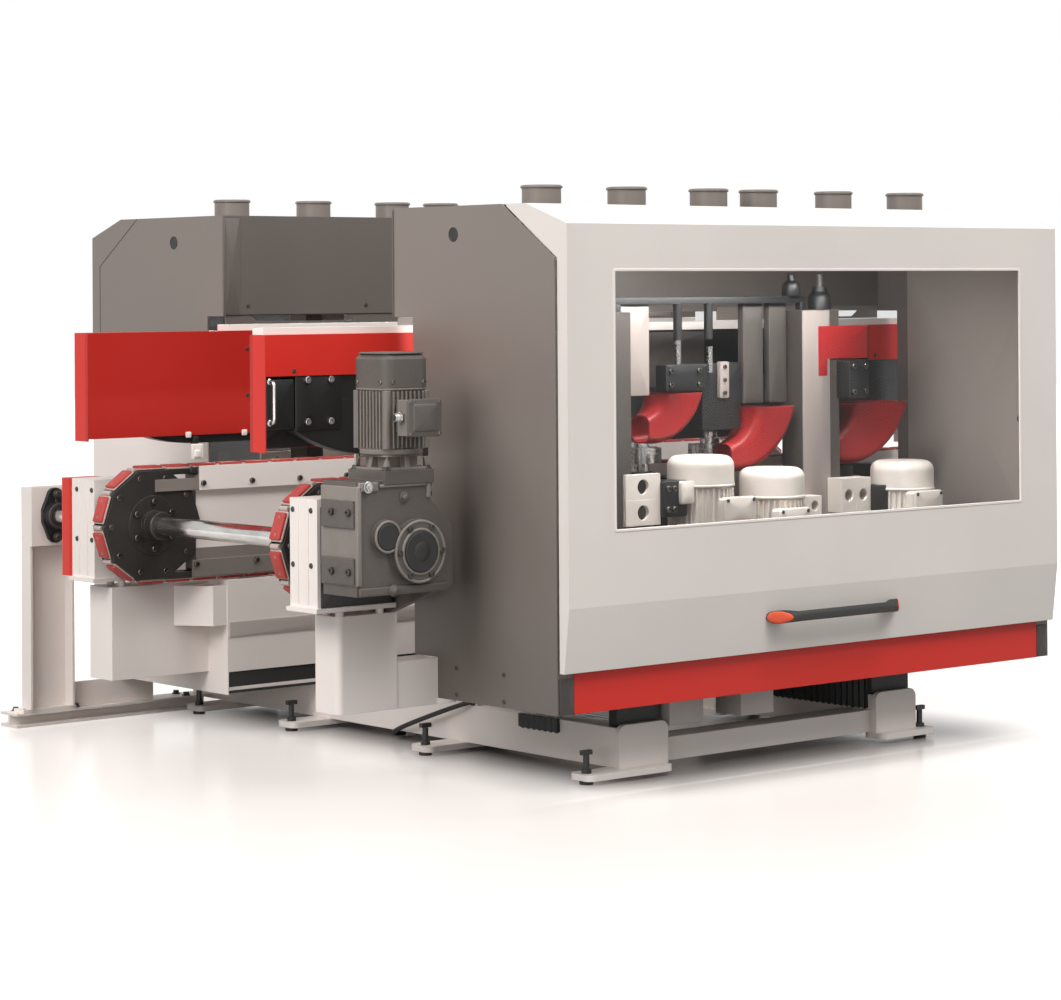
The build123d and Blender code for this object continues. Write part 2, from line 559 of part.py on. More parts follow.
with BuildPart() as gearbox:
    elevation([(-1646, 624), (-1300, 624), (-1280, 640), (-1280, 818), (-1366, 908), (-1366, 968), (-1646, 968)],
              (-975, -808))
    block((-1546, -1358), (-986, -802), (956, 998))
    rod((SHAFT_X, -975, SHAFT_Z), (0, -1, 0), 97, 22)
    rod((-1538, -975, 800), (0, -1, 0), 50, 15)
    for zs in ((661, 740), (830, 912)):
        block((-1656, -1646), (-972, -811), zs)
    section(-1, [(620, 535), (700, 535), (960, 628), (960, 652), (812, 652), (620, 610)], (-1318, -1292))
    for turn in range(6):
        angle = math.radians(60 * turn)
        rod((SHAFT_X + 79 * math.cos(angle), -997, SHAFT_Z + 79 * math.sin(angle)), (0, -1, 0), 8, 6)
    rod((SHAFT_X, -997, SHAFT_Z), (0, -1, 0), 62, 4)
    rod((SHAFT_X, -988, SHAFT_Z), (0, 1, 0), SHAFT_RADIUS + RUNNING_CLEARANCE, 190, Mode.SUBTRACT)
save(gearbox, "gearbox")

MOTOR_XY = (-1450, -894)
MOTOR_SIDE = 158
COWL_SIDE = 172

with BuildPart() as drive_motor:
    for z, width, depth, corner in ((998, 176, 172, 10), (1046, 152, 150, 34)):
        with BuildSketch(Plane.XY.offset(z)):
            with Locations(MOTOR_XY):
                RectangleRounded(width, depth, corner)
    loft()
    for turn in (-1, 1):
        for low in (-68, 8):
            along = (low, low + 60)
            face = (turn * 56, turn * 100)
            block([MOTOR_XY[0] + v for v in along], [MOTOR_XY[1] + v for v in face], (1006, 1038), Mode.SUBTRACT)
            block([MOTOR_XY[0] + v for v in face], [MOTOR_XY[1] + v for v in along], (1006, 1038), Mode.SUBTRACT)
    rod((*MOTOR_XY, 1046), (0, 0, 1), 97, 14)
    with BuildSketch(Plane.XY.offset(1060)):
        with Locations(MOTOR_XY):
            RectangleRounded(MOTOR_SIDE, MOTOR_SIDE, 22)
    extrude(amount=180)
    with Locations((*MOTOR_XY, 1150)):
        with GridLocations(16, MOTOR_SIDE, 8, 2):
            Box(5, 17, 172)
        with GridLocations(MOTOR_SIDE, 16, 2, 8):
            Box(17, 5, 172)
        with GridLocations(146, 146, 2, 2):
            Cylinder(13, 176)
    with BuildSketch(Plane.XY.offset(1240)):
        with Locations(MOTOR_XY):
            RectangleRounded(COWL_SIDE, COWL_SIDE, 34)
    extrude(amount=5)
    block((-1496, -1418), (-1016, -960), (1112, 1200))
    block((-1518, -1396), (-1062, -1016), (1104, 1212))
    rod((-1518, -1036, 1160), (-1, 0, 0), 13, 26)
save(drive_motor, "drive_motor")

with BuildPart() as motor_cowl:
    with BuildSketch(Plane.XY.offset(1245)):
        with Locations(MOTOR_XY):
            RectangleRounded(COWL_SIDE, COWL_SIDE, 34)
    extrude(amount=105)
    chamfer(motor_cowl.faces().sort_by(Axis.Z)[-1].edges(), 16)
save(motor_cowl, "motor_fan_cowl")
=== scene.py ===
"""Dresses the double end tenoner: paint, fittings, chains, tooling and a plain studio."""
import json
import math

import bmesh
import bpy
import numpy as np
from mathutils import Matrix


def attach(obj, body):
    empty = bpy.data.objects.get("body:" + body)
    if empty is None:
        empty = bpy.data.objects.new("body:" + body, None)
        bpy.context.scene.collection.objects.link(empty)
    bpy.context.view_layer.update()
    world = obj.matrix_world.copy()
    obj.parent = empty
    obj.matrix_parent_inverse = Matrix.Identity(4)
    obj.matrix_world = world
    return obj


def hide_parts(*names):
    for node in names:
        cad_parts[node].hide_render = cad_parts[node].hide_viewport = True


bl_info = {
    "name": "Double end tenoner",
    "version": (1, 0, 0),
    "blender": (4, 5, 0),
    "location": "View3D > Sidebar > Tenoner",
    "description": "Finishes and fittings of a double end tenoner, built around its solid model",
    "category": "Object",
}

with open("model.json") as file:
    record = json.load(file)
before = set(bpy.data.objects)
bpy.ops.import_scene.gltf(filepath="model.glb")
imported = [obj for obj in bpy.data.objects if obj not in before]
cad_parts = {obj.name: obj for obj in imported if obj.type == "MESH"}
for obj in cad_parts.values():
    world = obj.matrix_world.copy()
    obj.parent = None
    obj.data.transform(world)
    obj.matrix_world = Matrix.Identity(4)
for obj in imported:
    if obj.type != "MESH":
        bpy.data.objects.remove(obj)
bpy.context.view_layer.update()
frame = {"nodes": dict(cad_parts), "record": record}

# Shapes are worked out in millimetres. Those of a unit use (X, out, Z), out being the distance from
# the middle plane, and each unit's side turns out into Y.
MM = 0.001
UNITS = ((-1, "moving", "moving_unit"), (1, "fixed", "base"))
LEFT, RIGHT, BACK, FRONT, UP = (-1, 0, 0), (1, 0, 0), (0, -1, 0), (0, 1, 0), (0, 0, 1)
# The walls that face the other unit lie within this distance of the middle plane; coats are painted darker
# there, as shade between the units.
SHADED_WALL_OUT = 490.5
# Outer face of the end panel at the drive side, and outer and inner face of a door's sheet.
PANEL_X = -1125
DOOR_OUTER, DOOR_INNER = 1337, 1327
# Chain wheels have ten sides, and HALF_SIDE is half a side of a ten-sided figure 1 mm from its axis. A link's
# inner face lies CHAIN_INNER from the wheel's axis and its pins PIN_RISE further out.
SHAFT_X, SHAFT_Z = -1420.0, 750.0
CHAIN_OUT, CHAIN_INNER, PIN_RISE = 516.5, 166.0, 12
RUN_LINKS = 27
HALF_SIDE = math.tan(math.pi / 10)
PITCH = 2 * 169 * HALF_SIDE
IDLER_X = SHAFT_X + (RUN_LINKS - 1) * PITCH
# Opening of a door's window and the height of its middle.
WINDOW, WINDOW_Z = (1864, 797), 1201.5
# Middle of a door's bar handle and the lean of its cut ends.
GRIP_X, GRIP_OUT, GRIP_Z, GRIP_LEAN = 16, 1360, 493, 0.95
# Dust ports on a roof.
PORT_XS, PORT_OUT = (-824, -460, -93, 139, 501, 860), 870
# X and top of each spindle motor, and X, low and high edge of its terminal box.
MOTORS = ((-246, 995), (80, 942), (714, 940))
TERMINALS = ((-198, 772, 860), (52, 735, 811), (700, 752, 838))
# Axis of the feed motor, its cable gland, and the middles of the gearbox's two round covers.
MOTOR_X, MOTOR_Y, MOTOR_TOP = -1450, -894, 1350
GLAND = (-1518, -1036, 1160)
BIG_COVER, SMALL_COVER = (-1420, -997, 750), (-1538, -990, 800)


def linear(code):
    """Linear RGBA of an sRGB hex value."""
    channels = [int(code[i:i + 2], 16) / 255 for i in (1, 3, 5)]
    return tuple(c / 12.92 if c <= 0.04045 else ((c + 0.055) / 1.055) ** 2.4 for c in channels) + (1.0,)


def colour_of(name, description, code):
    """A colour that a user may change."""
    return bpy.props.FloatVectorProperty(name=name, description=description, default=linear(code), size=4,
                                         min=0.0, max=1.0, subtype="COLOR")


def length_of(name, description, default, least, most):
    """A length in metres that a user may change."""
    return bpy.props.FloatProperty(name=name, description=description, default=default, min=least, max=most,
                                   unit="LENGTH")


class TenonerColours(bpy.types.PropertyGroup):
    """Paint and metal colours of the machine"""

    panel: colour_of("Panels", "Warm grey powder coat of the end panels and roofs", "#7C736C")
    door: colour_of("Doors", "Light grey powder coat of the doors", "#DCD5CE")
    white: colour_of("Frame", "White powder coat of the base, beams and brackets", "#EBE1DA")
    red: colour_of("Signal red", "Red powder coat of covers and kick strips", "#CE2C22")
    casting: colour_of("Gearbox", "Grey paint on the gearbox casting", "#524C47")
    motor: colour_of("Motors", "White paint on the motor castings", "#EFE6DC")
    iron: colour_of("Blackened iron", "Chain plates, wheels and bearings", "#3B3734")
    black: colour_of("Black", "Black powder coat and anodised beams", "#191919")
    steel: colour_of("Bright steel", "Ground shafts, rods and screws", "#C9C8C6")
    plug: colour_of("Handle plugs", "Orange end plugs of the door handles", "#DB522E")


class TenonerSizes(bpy.types.PropertyGroup):
    """Sizes of the small fittings"""

    screw: length_of("Panel screw", "Head diameter of the sheet-metal screws", 0.015, 0.008, 0.03)
    bolt: length_of("Hexagon bolt", "Width of the hexagon heads over their corners", 0.024, 0.012, 0.04)
    lip: length_of("Window lip", "Width of the rolled lip round each window", 0.009, 0.007, 0.03)
    pad: length_of("Pad edge", "Rounding of the chain pads' upper edges", 0.003, 0.001, 0.006)
    pleat: length_of("Guard pleat", "Depth of the rubber guards' pleats", 0.009, 0.002, 0.02)


def add(tree, kind, inputs=None, **settings):
    """Adds a shader node with its settings, its input values and its links."""
    node = tree.nodes.new(kind)
    for key, value in settings.items():
        setattr(node, key, value)
    for key, value in (inputs or {}).items():
        if isinstance(value, bpy.types.NodeSocket):
            tree.links.new(value, node.inputs[key])
        else:
            node.inputs[key].default_value = value
    return node


def blank(name, **constants):
    """A material with one principled shader, its constant values set on its own sockets."""
    material = bpy.data.materials.new(name)
    material.use_nodes = True
    tree = material.node_tree
    tree.nodes.clear()
    shader = add(tree, "ShaderNodeBsdfPrincipled", {k.replace("_", " "): v for k, v in constants.items()})
    add(tree, "ShaderNodeOutputMaterial", {"Surface": shader.outputs[0]})
    return material, tree, shader


def grey(value):
    """A linear grey."""
    return (value, value, value, 1.0)


def dim(colour, share):
    """A colour scaled in brightness."""
    return tuple(min(1.0, c * share) for c in colour[:3]) + (1.0,)


# Scale at which noise on metres has blobs of about a millimetre.
NOISE_SCALE = 625.0
# Noise keeps mostly to this middle part of 0 to 1.
NOISE_SPAN = {"From Min": 0.3, "From Max": 0.7}


def speckle(tree, size_mm, detail):
    """Noise on Object coordinates whose blobs are about size_mm across."""
    place = add(tree, "ShaderNodeTexCoord")
    noise = add(tree, "ShaderNodeTexNoise", {"Vector": place.outputs["Object"], "Detail": detail,
                                             "Scale": NOISE_SCALE / size_mm, "Roughness": 0.55})
    return noise.outputs["Fac"]


def clouded(tree, noise, colour, darkest, brightest):
    """A colour whose brightness follows a noise between two shares."""
    share = add(tree, "ShaderNodeMapRange", {"Value": noise, **NOISE_SPAN})
    mix = add(tree, "ShaderNodeMix", {"Factor": share.outputs["Result"], 6: dim(colour, darkest),
                                      7: dim(colour, brightest)}, data_type="RGBA")
    return mix.outputs[2]


def dull(tree, shader, noise, least, most):
    """Makes the shader's roughness follow a noise between two values."""
    gloss = add(tree, "ShaderNodeMapRange", {"Value": noise, **NOISE_SPAN, "To Min": least, "To Max": most})
    tree.links.new(gloss.outputs["Result"], shader.inputs["Roughness"])


def softened(tree, radius_mm):
    """Rounds sharp edges in the shading: the normal over radius_mm, and how far it turns off the face."""
    edge = add(tree, "ShaderNodeBevel", {"Radius": radius_mm * MM}, samples=4)
    flat = add(tree, "ShaderNodeNewGeometry")
    turn = add(tree, "ShaderNodeVectorMath", {0: edge.outputs["Normal"], 1: flat.outputs["Normal"]},
               operation="DOT_PRODUCT")
    edge_wear_and_highlight = add(tree, "ShaderNodeMapRange", {"Value": turn.outputs["Value"], "From Min": 0.985,
                                            "From Max": 0.8})
    return edge.outputs["Normal"], edge_wear_and_highlight.outputs["Result"]


def coated(name, colour, roughness=0.42, foot_dust_and_shade=0.05, wear_and_highlight=0.3, shine=0.5, foot="#8C8378", reach=0.5,
           inner=1.0):
    """Powder-coated steel: even colour with a faint cloud, an orange-peel skin, paler edges that are partly
    wear and partly a painted highlight, and a foot that takes another tone up to a reach: pale dust by
    default, a dark painted shade on the end panels. Walls that face the other unit are painted darker, as
    shade."""
    material, tree, shader = blank(name, IOR=1.5, Specular_IOR_Level=shine)
    cloud = speckle(tree, 420, 4)
    tint = clouded(tree, cloud, colour, 0.95, 1.03)
    place = add(tree, "ShaderNodeTexCoord")
    split = add(tree, "ShaderNodeSeparateXYZ", {"Vector": place.outputs["Object"]})
    # Foot tone: pale dust by default; on the end panels a dark painted shade towards the floor.
    low = add(tree, "ShaderNodeMapRange", {"Value": split.outputs["Z"], "From Max": reach, "To Min": foot_dust_and_shade,
                                           "To Max": 0.0})
    dusted_and_shaded = add(tree, "ShaderNodeMix", {"Factor": low.outputs["Result"], 6: tint, 7: linear(foot)},
                data_type="RGBA")
    # Painted shade: the coat is darker by the inner share on walls that face the other unit.
    out = add(tree, "ShaderNodeMath", {0: split.outputs["Y"]}, operation="ABSOLUTE")
    wall = add(tree, "ShaderNodeMath", {0: out.outputs[0], 1: SHADED_WALL_OUT * MM}, operation="LESS_THAN")
    dusted_and_shaded = add(tree, "ShaderNodeMix", {"Factor": wall.outputs[0], 6: dusted_and_shaded.outputs[2], 7: grey(inner)},
                data_type="RGBA", blend_type="MULTIPLY")
    normal, edge_wear_and_highlight = softened(tree, 2.5)
    # Paler edges: partly rubbed wear, partly a painted highlight.
    rubbed_and_lit = add(tree, "ShaderNodeMath", {0: edge_wear_and_highlight, 1: speckle(tree, 30, 4)}, operation="MULTIPLY")
    thinned_and_lit = add(tree, "ShaderNodeMath", {0: rubbed_and_lit.outputs[0], 1: wear_and_highlight}, operation="MULTIPLY")
    pale = tuple(0.55 * c + 0.45 * 0.75 for c in colour[:3]) + (1.0,)
    edged = add(tree, "ShaderNodeMix", {"Factor": thinned_and_lit.outputs[0], 6: dusted_and_shaded.outputs[2], 7: pale},
                data_type="RGBA")
    tree.links.new(edged.outputs[2], shader.inputs["Base Color"])
    bump = add(tree, "ShaderNodeBump", {"Height": speckle(tree, 3, 2), "Strength": 0.12, "Distance": 0.0006,
                                        "Normal": normal})
    tree.links.new(bump.outputs["Normal"], shader.inputs["Normal"])
    dull(tree, shader, cloud, roughness - 0.05, roughness + 0.06)
    return material


def cast(name, colour, roughness=0.5, grit_mm=7.0, metallic=0.0, radius_mm=5.0):
    """Painted sand casting: a coarse grainy skin under thick paint, darker in patches, soft at its edges,
    where a much paler tone is a painted highlight.
    """
    material, tree, shader = blank(name, IOR=1.5, Metallic=metallic)
    grit = speckle(tree, grit_mm, 4)
    tint = clouded(tree, speckle(tree, 120, 3), colour, 0.84, 1.1)
    normal, edge_wear_and_highlight = softened(tree, radius_mm)
    # Edges much paler than the paint: a painted highlight.
    rubbed_and_lit = add(tree, "ShaderNodeMath", {0: edge_wear_and_highlight, 1: 0.6}, operation="MULTIPLY")
    edged = add(tree, "ShaderNodeMix", {"Factor": rubbed_and_lit.outputs[0], 6: tint, 7: dim(colour, 2.4)},
                data_type="RGBA")
    tree.links.new(edged.outputs[2], shader.inputs["Base Color"])
    bump = add(tree, "ShaderNodeBump", {"Height": grit, "Strength": 0.35, "Distance": 0.0015,
                                        "Normal": normal})
    tree.links.new(bump.outputs["Normal"], shader.inputs["Normal"])
    dull(tree, shader, grit, roughness - 0.1, roughness + 0.12)
    return material


def ground(name, colour, roughness=0.22, grain_mm=(1.736, 69.44, 1.736)):
    """Ground, turned or plated steel: bright metal with a grain of the given size along X, Y and Z. The lines
    of grinding are much finer on real steel and are drawn coarse enough to show."""
    material, tree, shader = blank(name, Metallic=1.0)
    place = add(tree, "ShaderNodeTexCoord")
    turn = add(tree, "ShaderNodeMapping", {"Vector": place.outputs["Object"],
                                           "Scale": [NOISE_SCALE / size for size in grain_mm]})
    lines = add(tree, "ShaderNodeTexNoise", {"Vector": turn.outputs["Vector"], "Scale": 1.0, "Detail": 5.0})
    tint = clouded(tree, lines.outputs["Fac"], colour, 0.75, 1.08)
    tree.links.new(tint, shader.inputs["Base Color"])
    dull(tree, shader, lines.outputs["Fac"], roughness - 0.08, roughness + 0.14)
    return material


def moulded(name, colour, roughness=0.5):
    """Moulded polymer or rubber: one colour with a fine matt grain."""
    material, tree, shader = blank(name, IOR=1.5)
    grain = speckle(tree, 2, 2)
    tint = clouded(tree, speckle(tree, 60, 3), colour, 0.88, 1.1)
    tree.links.new(tint, shader.inputs["Base Color"])
    bump = add(tree, "ShaderNodeBump", {"Height": grain, "Strength": 0.3, "Distance": 0.0005})
    tree.links.new(bump.outputs["Normal"], shader.inputs["Normal"])
    dull(tree, shader, grain, roughness - 0.08, roughness + 0.1)
    return material


def smoked(name, smoke):
    """Smoked polycarbonate: a clear sheet that takes some of the light and mirrors the studio."""
    material, tree, shader = blank(name, IOR=1.5, Alpha=smoke, Base_Color=linear("#26282A"))
    dull(tree, shader, speckle(tree, 260, 3), 0.02, 0.06)
    return material


def two_tone(name, upper, lower, level, reach=9.0):
    """Two tones: an even one above a level and within a reach along X, a faintly clouded one elsewhere.
    On the carriage the black upper tone is painted shade under the machine."""
    material, tree, shader = blank(name, IOR=1.5, Roughness=0.42)
    place = add(tree, "ShaderNodeTexCoord")
    split = add(tree, "ShaderNodeSeparateXYZ", {"Vector": place.outputs["Object"]})
    above = add(tree, "ShaderNodeMath", {0: split.outputs["Z"], 1: level}, operation="GREATER_THAN")
    along = add(tree, "ShaderNodeMath", {0: split.outputs["X"]}, operation="ABSOLUTE")
    within = add(tree, "ShaderNodeMath", {0: along.outputs[0], 1: reach}, operation="LESS_THAN")
    above = add(tree, "ShaderNodeMath", {0: above.outputs[0], 1: within.outputs[0]}, operation="MULTIPLY")
    under = clouded(tree, speckle(tree, 200, 4), lower, 0.9, 1.25)
    mix = add(tree, "ShaderNodeMix", {"Factor": above.outputs[0], 6: under, 7: upper}, data_type="RGBA")
    tree.links.new(mix.outputs[2], shader.inputs["Base Color"])
    normal, edge_wear_and_highlight = softened(tree, 2.0)
    tree.links.new(normal, shader.inputs["Normal"])
    return material


# Grain of plated or oiled screws: even clouds in millimetres.
PLATING = (11.57, 11.57, 11.57)
# Each finish by name: its material and the record's slot it belongs to.
FINISHES = {}
# Nodes whose finish differs from their slot's usual one.
PAINT = {
    "moving_tool_frame": "tool_columns", "fixed_tool_frame": "tool_columns",
    "moving_dust_hoods": "hood_red", "fixed_dust_hoods": "hood_red",
    "moving_chain_beam": "beam_paint", "fixed_chain_beam": "beam_paint",
    "moving_carriage": "carriage_shade_black", "drive_motor": "motor_grey_painted_light", "drive_shaft": "polished",
    "fixed_window": "dark_pane",
}


def mix_paints(colours):
    """Makes every finish of the machine once, from the colours a user has set, under its own slot."""
    red, white, black = tuple(colours.red), tuple(colours.white), tuple(colours.black)
    casting, steel, iron = tuple(colours.casting), tuple(colours.steel), tuple(colours.iron)
    slots = {
        # Sheet metal: satin powder coats, the end panels darker towards the floor as painted shade, and the
        # walls between the units darker as painted shade.
        "panel_grey": {
            "panel_grey": coated("warm_grey_powder_coat", tuple(colours.panel), foot_dust_and_shade=0.64, foot="#2E2823",
                                 reach=1.0, inner=0.62),
            "column_grey": coated("grey_powder_coat", linear("#9C918B"), foot_dust_and_shade=0.0),
            # Pale grey of the end panels' linings, also laid on the wall ledge as painted shade.
            "lining_grey": coated("pale_grey_coat_and_ledge_shade", linear("#B0A59E"), foot_dust_and_shade=0.0)},
        "door_grey": {
            "door_grey": coated("light_grey_powder_coat", tuple(colours.door))},
        "frame_white": {
            "frame_white": coated("white_powder_coat", white),
            # Chain beams: white above 0.66 m and within 1.238 m along X, clouded grey below and beyond.
            "beam_paint": two_tone("white_beam_grey_below_and_at_ends", white, linear("#7A726B"), 0.66, 1.238),
            # Carriage: a black coat above 0.2515 m as painted shade under the machine, over dimmed white
            # blocks.
            "carriage_shade_black": two_tone("carriage_black_painted_shade_on_white_blocks", black, dim(white, 0.66), 0.2515)},
        "signal_red": {
            # The red covers' walls between the units are painted darker, as shade.
            "signal_red": coated("red_powder_coat", red, roughness=0.4, foot_dust_and_shade=0.0, shine=0.3, inner=0.7),
            "hood_red": coated("dark_red_powder_coat", linear("#9C2323"), roughness=0.34, foot_dust_and_shade=0.0,
                               shine=0.3),
            "pad_rubber": moulded("red_rubber", linear("#AE3B34"), roughness=0.58)},
        "black_paint": {
            "black_paint": coated("black_powder_coat", black, roughness=0.45, foot_dust_and_shade=0.0, wear_and_highlight=0.2)},
        "beam_black": {
            "beam_black": two_tone("black_beam_and_white_carrier", white, black, 1.4)},
        # Castings: grainy under thick paint, or blackened and slightly metallic.
        "machine_grey": {
            "machine_grey": cast("grey_painted_casting", casting),
            "tool_columns": cast("dark_painted_casting", dim(casting, 0.85)),
            # The feed motor takes the gearbox grey twice as bright: painted light against the shade between
            # its fins.
            "motor_grey_painted_light": cast("finned_motor_casting_painted_light", dim(casting, 2.0)),
            "flange_grey": cast("pale_painted_casting", linear("#7B746D"))},
        "motor_white": {
            "motor_white": cast("white_painted_casting", tuple(colours.motor), roughness=0.4, grit_mm=4,
                                radius_mm=4.0)},
        "dark_iron": {
            "dark_iron": cast("blackened_iron", iron, roughness=0.42, metallic=0.4, radius_mm=3.0),
            "oiled_steel": ground("oiled_screw_steel", linear("#6F6A65"), roughness=0.3, grain_mm=PLATING),
            "pad_steel": cast("phosphated_steel", linear("#B9A9A1"), roughness=0.45, grit_mm=3, metallic=0.2,
                              radius_mm=2.0)},
        # Bright metal: lines of grinding on shafts, a duller even plating on screws.
        "bright_steel": {
            "bright_steel": ground("ground_steel", steel),
            "polished": ground("polished_steel", steel, roughness=0.13, grain_mm=(17.36, 69.44, 17.36)),
            "zinc": ground("zinc_plated_steel", dim(steel, 0.8), roughness=0.36, grain_mm=PLATING)},
        # Panes and polymers: clear and glossy, or matt with a fine grain.
        "tinted_pane": {
            "tinted_pane": smoked("smoked_polycarbonate", 0.14),
            "dark_pane": smoked("dark_smoked_polycarbonate", 0.8)},
        "cable_black": {
            "cable_black": moulded("black_rubber", black, roughness=0.6)},
        "handle_black": {
            "handle_black": moulded("black_nylon", dim(black, 0.8)),
            "handle_orange": moulded("orange_nylon", tuple(colours.plug), roughness=0.4)},
    }
    for slot, finishes in slots.items():
        FINISHES.update({finish: (material, slot) for finish, material in finishes.items()})


def grid(points):
    """Quads between neighbouring rows and columns of a grid of points, the columns closed to a ring."""
    rows, columns = points.shape[:2]
    i, j = np.meshgrid(np.arange(rows - 1), np.arange(columns), indexing="ij")
    k = (j + 1) % columns
    quads = np.stack([i * columns + j, i * columns + k, (i + 1) * columns + k, (i + 1) * columns + j], -1)
    return points.reshape(-1, 3), quads.reshape(-1, 4)


def stack(rings):
    """A closed solid from rings of points: the first and the last ring shrink to their own middles."""
    middles = np.broadcast_to(rings.mean(axis=1, keepdims=True), rings.shape)
    return grid(np.concatenate([middles[:1], rings, middles[-1:]]))


def ring_of(sides):
    """Points of a unit circle round Z."""
    angle = np.arange(sides) * 2 * math.pi / sides
    return np.stack([np.cos(angle), np.sin(angle), np.zeros(sides)], -1)


def turned(profile, sides=18):
    """A turned solid: every (radius, height) pair of the profile goes once round Z."""
    radius, height = np.array(profile, float).T
    return stack(radius[:, None, None] * ring_of(sides) + height[:, None, None] * np.array(UP, float))


def hoop(profile, sides=32):
    """A turned ring: a closed section of (radius, height) pairs goes once round Z."""
    radius, height = np.array(list(profile) + [profile[0]], float).T
    return grid(radius[:, None, None] * ring_of(sides) + height[:, None, None] * np.array(UP, float))


def rounded(width, depth, radius, steps=3):
    """Outline of a rectangle with quarter circles of the given radius at its corners."""
    radius = min(max(radius, 0.05), width / 2 - 0.01, depth / 2 - 0.01)
    quarter = np.radians(np.arange(4)[:, None] * 90 + np.linspace(0, 90, steps + 1))
    towards = np.radians(45 + 90 * np.arange(4))
    sign = np.sign(np.stack([np.cos(towards), np.sin(towards)], -1))
    middle = sign[:, None] * np.array([width / 2 - radius, depth / 2 - radius])
    return (middle + radius * np.stack([np.cos(quarter), np.sin(quarter)], -1)).reshape(-1, 2)


def slab(width, depth, height, radius=3.0, edge=1.5):
    """A plate on Z = 0 with round corners; its upper edge rolls over in three steps of a quarter circle."""
    rings = []
    for inset, z in ((0, 0), (0, height - edge), (0.3 * edge, height - 0.3 * edge), (edge, height)):
        outline = rounded(width - 2 * inset, depth - 2 * inset, radius - inset)
        rings.append(np.concatenate([outline, np.full((len(outline), 1), z)], 1))
    return stack(np.array(rings))


def across_of(axis):
    """A direction square to an axis: along X, or along Z where the axis is X."""
    return np.array(UP if abs(axis[0]) > 0.9 else RIGHT, float)


def set_at(shape, places, axis=UP, across=None):
    """Copies of a shape: place + x along across + y along axis x across + z along axis, for every place."""
    points, quads = shape
    places = np.atleast_2d(np.array(places, float))
    axis = np.broadcast_to(np.array(axis, float), places.shape)
    across = np.broadcast_to(across_of(axis[0]) if across is None else np.array(across, float), places.shape)
    basis = np.stack([across, np.cross(axis, across), axis], 1)
    moved = places[:, None] + np.einsum("nj,kjm->knm", points, basis)
    counts = np.arange(len(places))[:, None, None] * len(points)
    return moved.reshape(-1, 3), (quads + counts).reshape(-1, 4)


def joined(*shapes):
    """Several shapes as one, the later faces counted on past the earlier points."""
    starts = np.cumsum([0] + [len(points) for points, quads in shapes[:-1]])
    return (np.concatenate([points for points, quads in shapes]),
            np.concatenate([quads + start for (points, quads), start in zip(shapes, starts)]))


def on_side(shape, side):
    """A unit's shape in (X, out, Z), turned to its own side of the middle plane."""
    return shape[0] * np.array([1, side, 1]), shape[1]


def both_ends(shape, middle=0.0):
    """A shape and its mirror image about the plane X = middle."""
    points, quads = shape
    return joined(shape, (points * np.array([-1, 1, 1]) + np.array([2 * middle, 0, 0]), quads))


def block(xs, ys, zs, axis=UP, radius=3.0, edge=1.5):
    """A slab filling a box, its rolled edge at the end that axis points to."""
    box = np.sort(np.array([xs, ys, zs], float), axis=1)
    size = box[:, 1] - box[:, 0]
    axis = np.array(axis, float)
    across = across_of(axis)
    width, depth, height = (abs(size @ way) for way in (across, np.cross(axis, across), axis))
    foot = box.mean(axis=1) - axis * height / 2
    return set_at(slab(width, depth, height, radius, edge), foot, axis, across)


def tube(path, radius, sides):
    """A round bar along a path in a YZ plane: at each point a circle square to the mean of its two runs."""
    path = np.array(path, float)
    along = np.gradient(path, axis=0)
    along /= np.linalg.norm(along, axis=1, keepdims=True)
    first = np.cross(along, RIGHT)
    second = np.cross(along, first)
    circle = ring_of(sides)[None] * radius
    return stack(path[:, None] + circle[..., :1] * first[:, None] + circle[..., 1:2] * second[:, None])


def rim(size, radius, section, middle):
    """A frame in the XZ plane: each (across, proud) pair of its closed section sets a rounded rectangle
    that much wider all round and that far out of the plane."""
    rings = []
    for across, proud in list(section) + [section[0]]:
        outline = rounded(size[0] + 2 * across, size[1] + 2 * across, radius + across, 4)
        rings.append(np.stack([outline[:, 0], np.full(len(outline), proud), outline[:, 1]], -1) + middle)
    return grid(np.array(rings))


def holed(width, depth, height, hole):
    """A plate with a round hole: in 32 directions and the four corners' own, the outline is
    min(w / |cos|, d / |sin|) from the middle and the bore a circle. Both are joined over front, bore and
    back."""
    corner = math.atan2(depth, width)
    corners = [corner, math.pi - corner, math.pi + corner, 2 * math.pi - corner]
    angle = np.sort(np.concatenate([np.arange(32) * math.pi / 16 + 0.01, corners]))
    towards = np.stack([np.cos(angle), np.sin(angle)], -1)
    outline = towards * np.min(np.array([width, depth]) / 2 / np.abs(towards), axis=1, keepdims=True)
    bore = hole * towards
    rings = [np.concatenate([line, np.full((len(line), 1), z)], 1)
             for line, z in ((outline, 0), (outline, height), (bore, height), (bore, 0), (outline, 0))]
    return grid(np.array(rings))


def circle_of(middle, radius, count, start=0.0):
    """Places on a bolt circle in the XZ plane."""
    angle = math.radians(start) + np.arange(count) * 2 * math.pi / count
    return np.array(middle, float) + radius * np.stack([np.cos(angle), 0 * angle, np.sin(angle)], -1)


def pan_screw(width):
    """A low domed screw head with a recess, turned round Z."""
    r = width / 2
    return turned([(r, 0), (r * 0.97, r * 0.2), (r * 0.75, r * 0.42),
                   (r * 0.36, r * 0.5), (r * 0.3, r * 0.25)], 14)


def socket_screw(width, height):
    """A cylinder head with a rolled edge and a hollow socket, turned round Z."""
    r = width / 2
    return turned([(r, 0), (r, height * 0.85), (r * 0.88, height),
                   (r * 0.52, height), (r * 0.48, height * 0.5)], 14)


def hexagon(width, height):
    """A hexagon head with turned-down corners on a round washer."""
    r = width / 2
    return joined(turned([(r * 1.3, 0), (r * 1.3, height * 0.2), (r * 1.2, height * 0.28)], 18),
                  turned([(r, height * 0.2), (r, height * 0.85), (r * 0.82, height)], 6))


